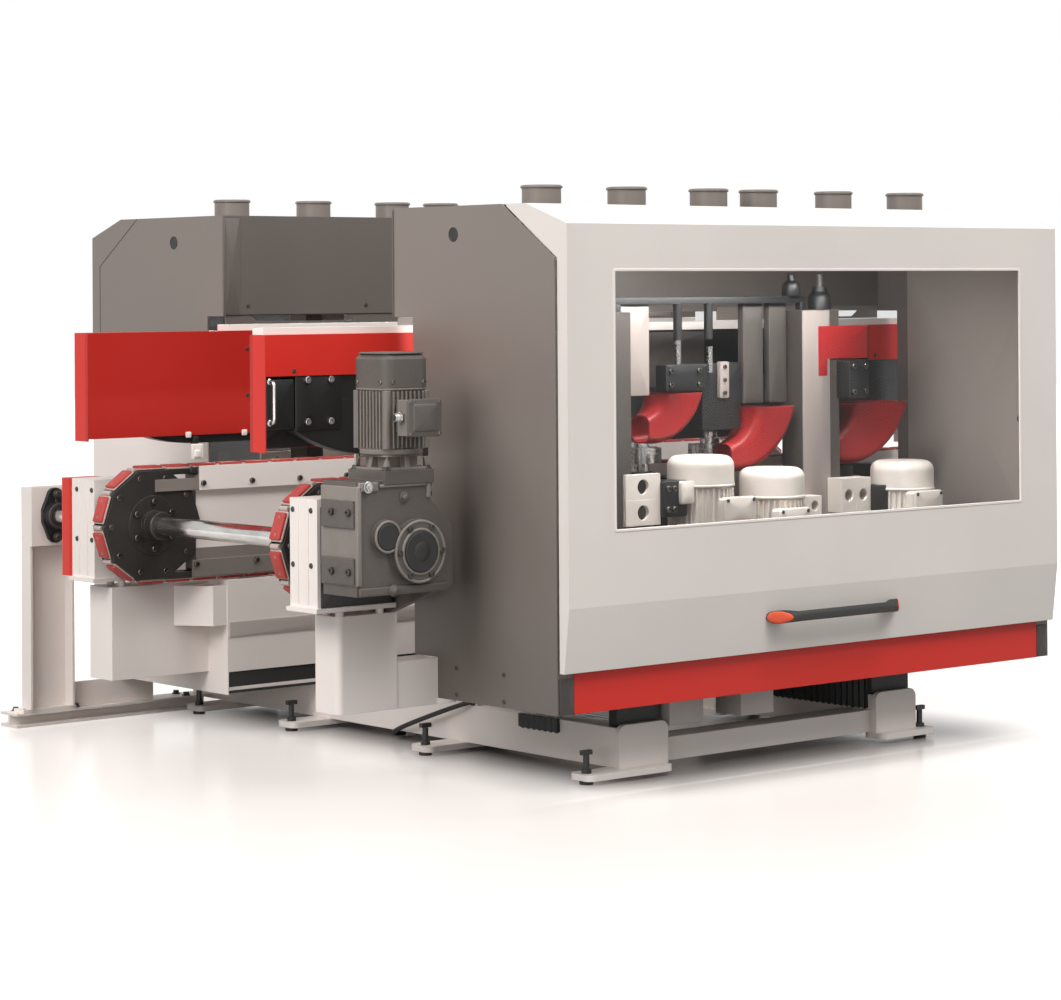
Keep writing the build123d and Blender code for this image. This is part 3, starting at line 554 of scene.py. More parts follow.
def piece(name, shape, finish, body, stands_for=()):
    """Makes a shape one mesh in metres: doubles merged, faces outwards, edges past 32 degrees crisp."""
    points, quads = shape
    mesh = bpy.data.meshes.new(name)
    mesh.from_pydata((points * MM).tolist(), [], quads.tolist())
    work = bmesh.new()
    work.from_mesh(mesh)
    bmesh.ops.remove_doubles(work, verts=work.verts, dist=2e-6)
    bmesh.ops.recalc_face_normals(work, faces=work.faces)
    work.to_mesh(mesh)
    work.free()
    mesh.shade_smooth()
    mesh.set_sharp_from_angle(angle=math.radians(32))
    material, slot = FINISHES[finish]
    mesh.materials.append(material)
    thing = bpy.data.objects.new(name, mesh)
    bpy.context.scene.collection.objects.link(thing)
    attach(thing, body)
    if stands_for:
        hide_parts(*stands_for)


def on_units(parts, carrier=None):
    """Makes each part once on each unit: its name, its shape in (X, out, Z), its finish and the node that it
    stands for, if any. The parts ride the unit, or the body of the unit that carrier names."""
    for side, unit, body in UNITS:
        rider = f"{unit}_{carrier}" if carrier else body
        for name, shape, finish, *nodes in parts:
            piece(f"{unit}_{name}", on_side(shape, side), finish, rider, [f"{unit}_{node}" for node in nodes])


class TENONER_OT_paint(bpy.types.Operator):
    """Paint the solid model's own pieces"""

    bl_idname = "tenoner.paint"
    bl_label = "Paint the solids"

    def execute(self, context):
        mix_paints(context.scene.tenoner_colours)
        for entry in frame["record"]["subparts"]:
            mesh = frame["nodes"][entry["node"]].data
            mesh.materials.clear()
            mesh.materials.append(FINISHES[PAINT.get(entry["node"], entry["material_slot"])][0])
        return {"FINISHED"}


def smooth_step(value):
    """0 below 0, 1 above 1, and 3v^2 - 2v^3 between."""
    value = np.clip(value, 0, 1)
    return value * value * (3 - 2 * value)


def grip_ring(station):
    """Sections of the bar handle at shares of the way from its cut end to the bar: out = c + a cos t and
    z = GRIP_Z + (b - d cos t) sin t. The end is cut at about 45 degrees, so x leans with out there."""
    t = np.arange(28) * 2 * math.pi / 28
    share = np.array(station, float)[:, None]
    bar = smooth_step((share - 0.35) / 0.6)
    out = GRIP_OUT + 17 * bar + (34 - 17 * bar) * np.cos(t)
    z = GRIP_Z + (20.5 - 4 * bar - 4 * (1 - bar) * np.cos(t)) * np.sin(t)
    x = -287 + (1 - share) * GRIP_LEAN * (out - GRIP_OUT + 34) + share * 104
    return np.stack([x, out, z], -1)


def grip():
    """The bar handle: its sections from one cut end to the bar, then their mirror image about the middle."""
    rings = grip_ring([0, 0.15, 0.3, 0.42, 0.54, 0.66, 0.78, 0.9, 1])
    other = (rings * np.array([-1, 1, 1]) + np.array([2 * GRIP_X, 0, 0]))[::-1]
    return stack(np.concatenate([rings, other]))


def grip_plugs():
    """Oval plugs: the cut's outline drawn in to shares of its size and raised along the cut's normal."""
    ring = grip_ring([0])[0]
    middle = ring.mean(axis=0)
    normal = np.array([-1, GRIP_LEAN, 0]) / math.hypot(1, GRIP_LEAN)
    plug = stack(np.array([middle + share * (ring - middle) + rise * normal
                           for share, rise in ((0.92, -2), (0.92, 1.5), (0.84, 3.2), (0.6, 4.4))]))
    return both_ends(plug, GRIP_X)


class TENONER_OT_doors(bpy.types.Operator):
    """Window lips, pane screws and bar handles of both doors"""

    bl_idname = "tenoner.doors"
    bl_label = "Dress the doors"

    def execute(self, context):
        edge = context.scene.tenoner_sizes.lip / MM - 5
        lip = [(-5, -3.5), (-5, 0.6), (-4, 1.6), (edge - 1, 1.6),
               (edge, 0.6), (edge, -1), (-2, -1), (-2, -3.5)]
        clamp = [(8, 0), (8, -5), (9, -6), (33, -6), (34, -5), (34, 0)]
        heads = [(x, DOOR_INNER - 6, z) for x in np.linspace(-880, 880, 9) for z in (782, 1621)]
        heads += [(x, DOOR_INNER - 6, z) for x in (-953, 953) for z in np.linspace(860, 1540, 4)]
        on_units((
            ("window_lip", rim(WINDOW, 6, lip, (0, DOOR_OUTER, WINDOW_Z)), "frame_white"),
            ("window_clamp", rim(WINDOW, 14, clamp, (0, DOOR_INNER, WINDOW_Z)), "black_paint"),
            ("clamp_screws", set_at(pan_screw(14), heads, BACK), "zinc"),
            ("grip", grip(), "handle_black", "door_handle"),
            ("grip_plugs", grip_plugs(), "handle_orange")), "door")
        return {"FINISHED"}


def chain_seats():
    """Middle, travel, outward direction and half step of every link: a run over, a run under and 4 links
    round each end, a tenth of a turn apart."""
    run = SHAFT_X + PITCH * np.arange(RUN_LINKS)
    x = np.concatenate([run, run, np.full(4, SHAFT_X), np.full(4, IDLER_X)])
    turns = np.arange(4) * 36
    angle = np.radians(np.concatenate([np.full(RUN_LINKS, 90), np.full(RUN_LINKS, -90),
                                       126 + turns, -54 + turns]))
    flat = np.zeros(len(x))
    outward = np.stack([np.cos(angle), flat, np.sin(angle)], -1)
    travel = np.stack([np.sin(angle), flat, -np.cos(angle)], -1)
    middle = np.stack([x, flat + CHAIN_OUT, flat + SHAFT_Z], -1) + CHAIN_INNER * outward
    straight = np.arange(len(x)) < 2 * RUN_LINKS
    half = np.where(straight, PITCH / 2, (CHAIN_INNER + PIN_RISE) * HALF_SIDE)
    return middle, travel, outward, half[:, None]


class TENONER_OT_chains(bpy.types.Operator):
    """Feed chains: side plates on pins, carrier plates and red pads"""

    bl_idname = "tenoner.chains"
    bl_label = "Link the chains"

    def execute(self, context):
        middle, travel, outward, half = chain_seats()
        line = middle + PIN_RISE * outward
        joints = line + half * travel
        # Every other link's plates sit inside its neighbours'.
        step = np.where(np.arange(len(middle)) % 2, 22.5, 27.0)[:, None] * np.array(FRONT, float)
        plate = slab(PITCH + 22, 23, 4.5, 11.5, 1.2)
        foot = slab(64, 36, 19, 3, 1)
        carrier = slab(PITCH - 12, 57, 6, 4, 1)
        pad = slab(PITCH - 22, 54, 9, 4, context.scene.tenoner_sizes.pad / MM)
        pin = turned([(9, -34.5), (9.5, -33.5), (9.5, -31), (5.5, -31), (5.5, 31), (9.5, 31), (9.5, 33.5),
                      (9, 34.5)], 14)
        hub = turned([(8.5, -21), (9.5, -20), (9.5, 20), (8.5, 21)], 12)
        head = turned([(5, 0), (5, 0.3), (3, 0.5), (2.4, 0.1)], 10)
        heads = np.concatenate([middle + 34.6 * outward + shift * travel for shift in (-28, 28)])
        plates = joined(set_at(plate, line + step, FRONT, travel), set_at(plate, line - step, BACK, travel),
                        set_at(foot, middle + 1.5 * outward, outward, travel))
        carriers = joined(set_at(carrier, middle + 20 * outward, outward, travel),
                          set_at(hub, joints + 9 * outward, FRONT))
        on_units((
            ("chain_pads", set_at(pad, middle + 26 * outward, outward, travel), "pad_rubber", "feed_chain"),
            ("chain_plates", plates, "dark_iron"),
            ("chain_carriers", carriers, "pad_steel"),
            ("chain_pins", set_at(pin, joints, FRONT), "dark_iron"),
            ("pad_screws", set_at(head, heads, np.tile(outward, (2, 1)), np.tile(travel, (2, 1))), "zinc")))
        return {"FINISHED"}


class TENONER_OT_wheels(bpy.types.Operator):
    """Ten-sided side plates, screws and collars of the chain wheels"""

    bl_idname = "tenoner.wheels"
    bl_label = "Dress the wheels"

    def execute(self, context):
        collar = hoop([(32.6, 0), (48, 0), (48, 36), (45, 40), (32.6, 40)])
        reach = 184 / math.cos(math.pi / 10)
        plate = turned([(reach, 0), (reach, 1.2), (reach - 1, 1.9), (101, 1.9)], 10)
        socket = socket_screw(22, 10)
        head = turned([(10, 0), (10, 2), (9, 3.2), (5, 3.2), (4.4, 1.4)], 14)
        for side, unit, body in UNITS:
            drive = "feed_shaft" if unit == "moving" else "fixed_wheel"
            for name, x, wheel in (("drive", SHAFT_X, drive), ("idler", IDLER_X, f"{unit}_idler")):
                screws = joined(set_at(socket, circle_of((x, 478, SHAFT_Z), 80, 6, 30), BACK),
                                set_at(socket, circle_of((x, 582, SHAFT_Z), 80, 6, 30), FRONT),
                                set_at(head, circle_of((x, 481.5, SHAFT_Z), 166, 10), BACK),
                                set_at(head, circle_of((x, 551.5, SHAFT_Z), 166, 10), FRONT))
                plates = joined(set_at(plate, (x, 483.2, SHAFT_Z), BACK),
                                set_at(plate, (x, 549.8, SHAFT_Z), FRONT))
                if name == "drive":
                    plates = joined(plates, set_at(collar, (x, 463, SHAFT_Z), BACK))
                piece(f"{unit}_{name}_wheel_screws", on_side(screws, side), "oiled_steel", wheel)
                piece(f"{unit}_{name}_wheel_plates", on_side(plates, side), "dark_iron", wheel)
        return {"FINISHED"}


class TENONER_OT_gearbox(bpy.types.Operator):
    """Covers, plugs and screws of the gearbox"""

    bl_idname = "tenoner.gearbox"
    bl_label = "Dress the gearbox"

    def execute(self, context):
        body = "moving_unit"
        big_cap = turned([(62, 0), (62, 4), (59, 6), (30, 5), (26, 7.5), (10, 8)], 36)
        small_cap = turned([(40, 0), (40, 4), (37, 6), (16, 5.2)], 30)
        caps = joined(set_at(big_cap, np.add(BIG_COVER, (0, -4, 0)), BACK),
                      set_at(small_cap, SMALL_COVER, BACK),
                      block((-1364, -1338), (-934, -900), (1034, 1066), RIGHT))
        piece("gearbox_rubber_caps", caps, "cable_black", body)
        seat = hoop([(63, -1), (72, -1), (72, 3), (70, 5), (65, 5), (63, 3)], 40)
        brim = hoop([(88, -1), (96.5, -1), (96.5, 1), (94, 2.5), (90, 2.5), (88, 1)], 48)
        small_seat = hoop([(42, -1), (50, -1), (50, 2), (48, 3.5), (44, 3.5), (42, 2)], 32)
        flanges = joined(set_at(seat, BIG_COVER, BACK), set_at(brim, BIG_COVER, BACK),
                         set_at(small_seat, SMALL_COVER, BACK),
                         block((-1640, -1566), (-983, -975), (938, 966), BACK, 3, 4),
                         block((-1562, -1384), (-984, -975), (948, 958), BACK, 3, 3),
                         block((-1648, -1630), (-983, -800), (656, 955), BACK, 4, 4),
                         block((-1381, -1366), (-983, -800), (910, 958), BACK, 4, 4))
        piece("gearbox_flanges", flanges, "flange_grey", body)
        rib = block((-1640, -1302), (-985, -975), (624, 650), BACK, 3, 4)
        piece("gearbox_foot_rib", rib, "machine_grey", body)
        foot_bolts = [(-1452 + 78 * i, MOTOR_Y + 76 * j, 998) for i in (-1, 1) for j in (-1, 1)]
        screws = joined(
            set_at(socket_screw(18, 9), circle_of(BIG_COVER, 81, 6), BACK),
            set_at(socket_screw(22, 8), [(-1656, y, z) for y in (-865, -950) for z in (876, 698)], LEFT),
            set_at(hexagon(24, 13), [(-1366, -960, z) for z in (950, 922)], RIGHT),
            set_at(hexagon(24, 12), foot_bolts))
        piece("gearbox_screws", screws, "dark_iron", body)
        plug = joined(hexagon(28, 12), turned([(8, 11), (8, 15), (6, 16)], 12))
        piece("gearbox_level_plug", set_at(plug, (-1606, -983, 952), BACK), "zinc", body)
        oil_plugs = set_at(plug, [(-1466, -975, 916), (-1515, -985, 637)], BACK)
        piece("gearbox_oil_plugs", oil_plugs, "machine_grey", body)
        return {"FINISHED"}


class TENONER_OT_motor(bpy.types.Operator):
    """Fan grille, screws, terminal box lid and cable gland of the feed motor"""

    bl_idname = "tenoner.motor"
    bl_label = "Dress the motor"

    def execute(self, context):
        body = "moving_unit"
        x, y, top = MOTOR_X, MOTOR_Y, (MOTOR_X, MOTOR_Y, MOTOR_TOP)
        opening = turned([(68, 0), (68, 0.8), (66, 1)], 40)
        piece("motor_fan_opening", set_at(opening, top), "black_paint", body)
        wire = np.array([(-1.8, 0.5), (1.8, 0.5), (1.8, 3.2), (0.8, 4.2), (-0.8, 4.2), (-1.8, 3.2)])
        rings = [hoop(wire + (radius, 0), 40) for radius in (16, 28, 40, 52, 64)]
        bars = [set_at(slab(136, 5, 3.6, 1, 1), (0, 0, 0.5), UP, (math.cos(a), math.sin(a), 0))
                for a in np.radians([45, 135])]
        piece("motor_fan_grille", set_at(joined(*rings, *bars), top), "machine_grey", body)
        lids = joined(block((-1521, -1393), (-1071, -1064), (1101, 1215), BACK, 9, 3),
                      block((-1500, -1414), (-1074, -1070), (1118, 1198), BACK, 6, 2),
                      block((x - 80, x + 80), (y - 80, y + 80), (1349, 1353), UP, 30, 3))
        piece("motor_lids", lids, "machine_grey", body)
        gasket = block((-1519, -1395), (-1064.5, -1061), (1103, 1213), BACK, 8, 0.5)
        piece("motor_gasket", gasket, "cable_black", body)
        cowl = pan_screw(14)
        screws = joined(
            set_at(pan_screw(11), [(a, -1071, b) for a in (-1512, -1402) for b in (1110, 1206)], BACK),
            set_at(cowl, [(x + a, y - 86, 1264) for a in (-58, 58)], BACK),
            set_at(cowl, [(x - 86, y + a, 1264) for a in (-58, 58)], LEFT),
            set_at(cowl, [(x + 86, y + a, 1264) for a in (-58, 58)], RIGHT),
            set_at(cowl, [(x + a, y + 86, 1264) for a in (-58, 58)], FRONT))
        piece("motor_screws", screws, "oiled_steel", body)
        plug = set_at(turned([(10, 0), (10, 3), (7, 4)], 16), np.add(GLAND, (-30, 0, 0)), LEFT)
        piece("motor_gland_plug", plug, "cable_black", body)
        gland = joined(turned([(18, 0), (18, 10), (16, 12)], 6),
                       turned([(14.5, 10), (14.5, 22), (12, 27), (11, 30)], 18))
        piece("motor_gland", set_at(gland, GLAND, LEFT), "zinc", body)
        return {"FINISHED"}


class TENONER_OT_tooling(bpy.types.Operator):
    """Motor fittings, brackets, guide rods and guards behind the windows"""

    bl_idname = "tenoner.tooling"
    bl_label = "Fit the tooling"

    def execute(self, context):
        boxes = [block((x - 66, x + 66), (1078, 1112), (low, high), FRONT, 12, 3)
                 for x, low, high in TERMINALS]
        lids = [block((x - 69, x + 69), (1114, 1126), (low - 3, high + 3), FRONT, 12, 5)
                for x, low, high in TERMINALS]
        gaskets = [block((x - 67, x + 67), (1111, 1115), (low - 1, high + 1), FRONT, 12, 0.5)
                   for x, low, high in TERMINALS]
        lid_screws = [(x + a, 1126, z) for x, low, high in TERMINALS
                      for a in (-58, 58) for z in (low + 8, high - 8)]
        cowl_ring = hoop([(106, -3), (112.5, -3), (112.5, 2), (111, 4), (106, 4)], 48)
        nose_ring = hoop([(44, -4), (58, -4), (58, 8), (54, 12), (44, 12)], 32)
        spindle_nut = turned([(24, 0), (24, 14), (20, 18)], 24)
        jack = turned([(30, 0), (32, 4), (32, 34), (29, 42), (15, 52), (13, 58), (13, 72), (10, 75)], 24)
        wide_jack = turned([(42, 0), (42, 40), (38, 50), (27, 62), (26, 78)], 28)
        plates = joined(
            *boxes, *lids,
            set_at(cowl_ring, [(x, 985, top - 96) for x, top in MOTORS]),
            set_at(holed(150, 83, 12, 24), [(-530, 1006, z) for z in (822, 905)], FRONT),
            block((-391, -333), (1034, 1050), (843, 917), FRONT, 6, 3),
            set_at(holed(72, 118, 70, 20), [(x, 900, 828) for x in (464, 536)], FRONT),
            set_at(holed(64, 67, 60, 17), [(x, 899, 800) for x in (246, 310)], FRONT))
        blocks = joined(
            block((-456, -352), (960, 1036), (803, 920), FRONT, 8, 4),
            block((571, 618), (930, 1010), (769, 859), FRONT, 8, 4),
            block((-548, 372), (838, 862), (1490, 1514), UP, 4, 3),
            block((-540, -482), (836, 864), (1464, 1492), UP, 3, 1),
            block((344, 372), (836, 864), (1464, 1492), UP, 3, 1),
            set_at(jack, (312, 850, 1514)),
            set_at(wide_jack, (450, 850, 1466)),
            set_at(nose_ring, [(x, 685, 916) for x, top in MOTORS]),
            block((480, 575), (898, 962), (1160, 1292), FRONT, 8, 4),
            block((-290, -100), (818, 870), (1200, 1290), FRONT, 6, 3),
            block((-101, 75), (818, 842), (1066, 1290), FRONT, 6, 3),
            set_at(turned([(15, 0), (15, 122)], 18), [(-219, 850, 1371), (-79, 850, 1371)]))
        columns = joined(
            block((313, 444), (899, 904), (600, 1464), FRONT, 4, 2),
            block((-474, -345), (840, 848), (1190, 1492), FRONT, 4, 2),
            block((-32, 10), (840, 856), (1173, 1295), FRONT, 6, 2))
        castings = joined(
            block((94, 188), (812, 838), (1150, 1492), FRONT, 5, 3),
            block((218, 300), (812, 838), (1150, 1492), FRONT, 5, 3))
        guard = joined(
            block((387, 637), (899, 905), (1296, 1410), FRONT, 4, 2),
            block((387, 432), (899, 905), (1238, 1300), FRONT, 4, 2),
            block((631, 637), (840, 905), (1296, 1410), RIGHT, 3, 2))
        rods = joined(
            set_at(turned([(11, 0), (11, 86), (9, 88)], 18), [(-219, 850, 1285), (-79, 855, 1260)]),
            set_at(spindle_nut, [(x, 685, 1036) for x, top in MOTORS]))
        screws = joined(
            set_at(pan_screw(13), lid_screws, FRONT),
            set_at(socket_screw(18, 8), [(x, 870, z) for x in (-270, -143) for z in (1222, 1268)], FRONT),
            set_at(socket_screw(20, 9), [(x, 1036, z) for x in (-440, -414) for z in (828, 895)], FRONT),
            set_at(socket_screw(14, 6), [(-11, 856, z) for z in (1190, 1234, 1278)], FRONT),
            set_at(socket_screw(20, 9), [(x, 962, z) for x in (498, 557) for z in (1182, 1270)], FRONT))
        on_units((
            ("tool_plates", plates, "motor_white"),
            ("tool_gaskets", joined(*gaskets), "cable_black"),
            ("tool_blocks", blocks, "black_paint"),
            ("column_plates", columns, "column_grey"),
            ("tool_castings", castings, "tool_columns"),
            ("tool_guard", guard, "hood_red"),
            ("tool_rods", rods, "bright_steel"),
            ("tool_screws", screws, "oiled_steel")))
        return {"FINISHED"}


def cover_pull(x, low, high):
    """A pull handle: a bar leaves its lower foot, bends through quarter circles of 14 mm and ends in the
    upper foot. The upper bend is the lower one's mirror image about the middle height."""
    bend = np.radians(np.linspace(0, 90, 5))
    lower = np.stack([np.full(5, x), 562 + 14 * np.sin(bend), low + 14 - 14 * np.cos(bend)], -1)
    upper = lower[::-1] * np.array([1, 1, -1]) + np.array([0, 0, low + high])
    foot = turned([(10, 0), (10, 3), (7, 5)], 16)
    return joined(tube(np.concatenate([[(x, 549, low)], lower, upper, [(x, 549, high)]]), 5.5, 12),
                  set_at(foot, [(x, 550, low), (x, 550, high)], FRONT))


class TENONER_OT_pressure(bpy.types.Operator):
    """Ends of the pressure beams: bolted blocks, pull handles, clips, sensors and cover screws"""

    bl_idname = "tenoner.pressure"
    bl_label = "Dress the pressure beams"

    def execute(self, context):
        screw = pan_screw(context.scene.tenoner_sizes.screw / MM)
        blocks = joined(block((-1562, -1383), (538, 551), (1105, 1290), FRONT, 6, 3),
                        block((-1674, -1566), (505, 550), (1112, 1268), FRONT, 5, 3),
                        block((-1676, -1010), (479.2, 481), (1051, 1400), FRONT),
                        block((-1260, -1240), (472, 491), (1012, 1046), BACK, 2, 1))
        heads = [(x, 551, z) for x in (-1517, -1428) for z in (1264, 1133)]
        screws = joined(set_at(screw, [(-1034, 475, z) for z in (1342, 1182)], BACK),
                        set_at(screw, [(x, 556, 1293) for x in (-1571, -1300, -1034)], FRONT))
        clips = joined(block((-1291, -1271), (469, 475.5), (1042, 1062), BACK, 3, 2),
                       block((-1059, -1039), (469, 475.5), (1042, 1062), BACK, 3, 2))
        sensor = joined(block((-1272, -1226), (462, 472.6), (967, 1020), BACK, 4, 3),
                        block((-1262, -1238), (458, 464), (973, 998), BACK, 4, 2))
        on_units((
            ("beam_end_blocks", both_ends(blocks), "black_paint"),
            ("beam_end_bolts", both_ends(set_at(socket_screw(22, 9), heads, FRONT)), "zinc"),
            ("cover_pulls", both_ends(cover_pull(-1660, 1133, 1261)), "bright_steel"),
            ("cover_screws", both_ends(screws), "dark_iron"),
            ("cover_clips", both_ends(clips), "frame_white"),
            ("panel_sensors", both_ends(sensor), "motor_white"),
            ("beam_plate", block((-620, -440), (539, 547), (1045, 1290), FRONT, 4, 2), "door_grey"),
            ("beam_backing", block((-439, 190), (539, 544), (1204, 1392), FRONT, 3, 1.5), "machine_grey")),
            "pressure")
        return {"FINISHED"}


def fascia():
    """A strip with a slanted opening: outer rectangle and inner trapezium joined over front and back."""
    outer = np.array([(-1113, 1430), (-300, 1430), (-300, 1475), (-1113, 1475)], float)
    inner = np.array([(-980, 1437), (-560, 1437), (-600, 1458), (-1010, 1458)], float)
    rings = [np.stack([line[:, 0], np.full(4, out), line[:, 1]], -1)
             for line, out in ((outer, 489), (inner, 489), (inner, 493), (outer, 493), (outer, 489))]
    return grid(np.array(rings))


class TENONER_OT_enclosures(bpy.types.Operator):
    """Screws, rims, seals and seams of the two enclosures"""

    bl_idname = "tenoner.enclosures"
    bl_label = "Dress the enclosures"

    def execute(self, context):
        screw = pan_screw(context.scene.tenoner_sizes.screw / MM)
        screws = joined(set_at(screw, [(PANEL_X, out, z) for out in (797, 1031) for z in (354, 271)], LEFT),
                        set_at(screw, [(x, 485, 1491) for x in (-1022, -509)], BACK))
        spy_cap = turned([(23, -3), (23, 1.2), (22, 2), (20, 2), (18.5, 0.4)], 32)
        hems = joined(block((-1121, -1056), (483.2, 486), (1461, 1796), BACK, 1, 0.8),
                      block((-1128, -1118), (481, 486), (1456, 1798), BACK, 1, 2))
        bead = hoop([(62.5, -4), (66, -4), (67.5, -2), (67.5, 2), (66, 4), (62.5, 4)], 36)
        port_screws = [(x + 71 * math.cos(a), PORT_OUT + 71 * math.sin(a), 1810)
                       for x in PORT_XS for a in np.radians(22.5 + 45 * np.arange(8))]
        caps = joined(block((-1119, -1062), (1284, 1291), (254, 363), FRONT, 6, 3),
                      block((1062, 1119), (1284, 1291), (254, 363), FRONT, 6, 3))
        lining = block((-1120.5, -1116), (640, 1272), (600, 1600), RIGHT, 4, 2)
        seals = joined(block((-1118, 1118), (1008, 1012), (1768, 1802.5)),
                       block((-1118, 1118), (1008, 1080), (1767, 1771)))
        on_units((
            ("panel_screws", both_ends(screws), "dark_iron"),
            ("spy_rims", both_ends(set_at(spy_cap, (PANEL_X, 795, 1716), LEFT)), "black_paint"),
            ("wall_hems", joined(both_ends(hems), both_ends(fascia())), "panel_grey"),
            ("port_beads", set_at(bead, [(x, PORT_OUT, 1868) for x in PORT_XS]), "panel_grey"),
            ("port_screws", set_at(pan_screw(11), port_screws), "zinc"),
            # Painted shade: dark strips at the ends of the red kick strips.
            ("kick_caps", caps, "dark_iron"),
            ("wall_linings", both_ends(lining), "lining_grey"),
            ("hinge_seals", seals, "cable_black")))
        seam = tube([(PANEL_X - 0.2, *place) for place in ((1035, 1804), (1285, 1637), (1285, 1050))], 1.6, 8)
        # Painted shade: a black band along the lower edge of the fixed cabinet's inner wall.
        shade_skirt = block((-1117, 1117), (476, 480), (150, 226), BACK)
        ledge = block((-1117, -4), (467, 471.5), (346, 398), BACK, 1, 1)
        piece("fixed_panel_seams", both_ends(seam), "machine_grey", "base")
        piece("fixed_cabinet_shade_skirt", shade_skirt, "black_paint", "base")
        # The ledge is darker than the white frame, as painted shade under its slant.
        piece("fixed_wall_ledge", both_ends(ledge), "lining_grey", "base")
        return {"FINISHED"}


def pleated(x, start, stop, foot, top, depth):
    """A pleated rubber sheet along Y in front of a wall at X: tooth is a triangle wave from 0 to 1 and back
    every
    28 mm, the outer face stands 2 + depth tooth off the wall and the lower edge 8 tooth above the foot."""
    y = np.arange(start, stop + 1, 4.0)
    tooth = np.abs(((y - start) / 14) % 2 - 1)
    wall, outer = np.full(len(y), x + 0.5), x - 2 - depth * tooth
    low, high = foot + 8 * tooth, np.full(len(y), float(top))
    corners = ((wall, low), (outer, low), (outer, high), (wall, high))
    return stack(np.stack([np.stack([across, y, level], -1) for across, level in corners], 1))


def bellows(x):
    """A pleated rail cover along Y: rounded rectangles at nine stations, every other one drawn in by 7 mm."""
    rings = []
    for i, y in enumerate(np.linspace(-1098, -1062, 9)):
        outline = rounded(180 - 14 * (i % 2), 88 - 14 * (i % 2), 5)
        rings.append(np.stack([x + outline[:, 0], np.full(len(outline), y), 202 + outline[:, 1]], -1))
    return stack(np.array(rings))


class TENONER_OT_frame(bpy.types.Operator):
    """Bolts of the chain beams, brackets, post and floor base, and pleats on the cross beams: a rubber guard
    on the left one, painted shade on the middle one
    """

    bl_idname = "tenoner.frame"
    bl_label = "Bolt the frame"

    def execute(self, context):
        sizes = context.scene.tenoner_sizes
        bolt = hexagon(sizes.bolt / MM, 0.55 * sizes.bolt / MM)
        socket = socket_screw(20, 8)
        rail = [(x, 884) for x in np.linspace(-1222, 1222, 13)]
        rail += [(x, 607) for x in np.linspace(-1251, 1251, 11)]
        beam = joined(set_at(socket, [(x, 473, z) for x, z in rail], BACK),
                      set_at(socket, [(x, 560, z) for x, z in rail if abs(x) < 1230], FRONT))
        for side, unit, body in UNITS:
            tip = -1620 if unit == "moving" else -1581
            face = [(tip, out, z) for out in (614, 709) for z in (869, 700)]
            foot = [(x + tip, out, 570) for x in (275, 120) for out in (630, 700)]
            heads = joined(set_at(pan_screw(18), face, LEFT), set_at(bolt, foot))
            folds = joined(*[block((tip - 2.5, tip + 1), (out - 3, out + 3), (580, 900), LEFT, 1, 1.5)
                             for out in (642, 694)])
            piece(f"{unit}_beam_bolts", on_side(beam, side), "oiled_steel", body)
            piece(f"{unit}_bracket_bolts", on_side(both_ends(heads), side), "dark_iron", body)
            piece(f"{unit}_bracket_folds", on_side(both_ends(folds), side), "frame_white", body)
        # Painted shade: black plates on the brackets' sides, in the gap beside the gearbox.
        shade_cheeks = both_ends(block((-1608, -1330), (740, 743), (571, 880), FRONT, 2, 1))
        piece("moving_bracket_shade_cheeks", on_side(shade_cheeks, -1), "black_paint", "moving_unit")
        floor_bolts = [(-1507, 1252, 50), (-1507, 1182, 50), (-1296, 1190, 50), (-1296, 1250, 50),
                       (-827, 1250, 50), (-827, 1182, 50)]
        grease_nipple = turned([(5, 0), (5, 8), (3, 9), (4.5, 12), (3, 15)], 12)
        bearing_lip = hoop([(33, 0), (46, 0), (46, 6), (42, 9), (33, 9)], 32)
        post = joined(set_at(bolt, floor_bolts),
                      set_at(bolt, [(SHAFT_X, 1106, SHAFT_Z + z) for z in (-76, 76)], BACK),
                      set_at(grease_nipple, (SHAFT_X, 1112, 796)),
                      set_at(bearing_lip, (SHAFT_X, 1094, SHAFT_Z), BACK))
        piece("post_bolts", post, "dark_iron", "base")
        # The left pleats are a rubber guard; the middle ones are painted shade, a black sheet over the cross
        # beam's face under the machine.
        for name, x, start, stop, foot, top in (("left", -731.0, -834, -638, 112, 161),
                                                ("middle", 432.0, -1084, -250, 108, 246)):
            guard = pleated(x, start, stop, foot, top, sizes.pleat / MM)
            piece(f"{name}_guard_and_shade_pleats", guard, "cable_black", "base")
        piece("rail_bellows", joined(bellows(-631.5), bellows(524.5)), "cable_black", "base")
        return {"FINISHED"}


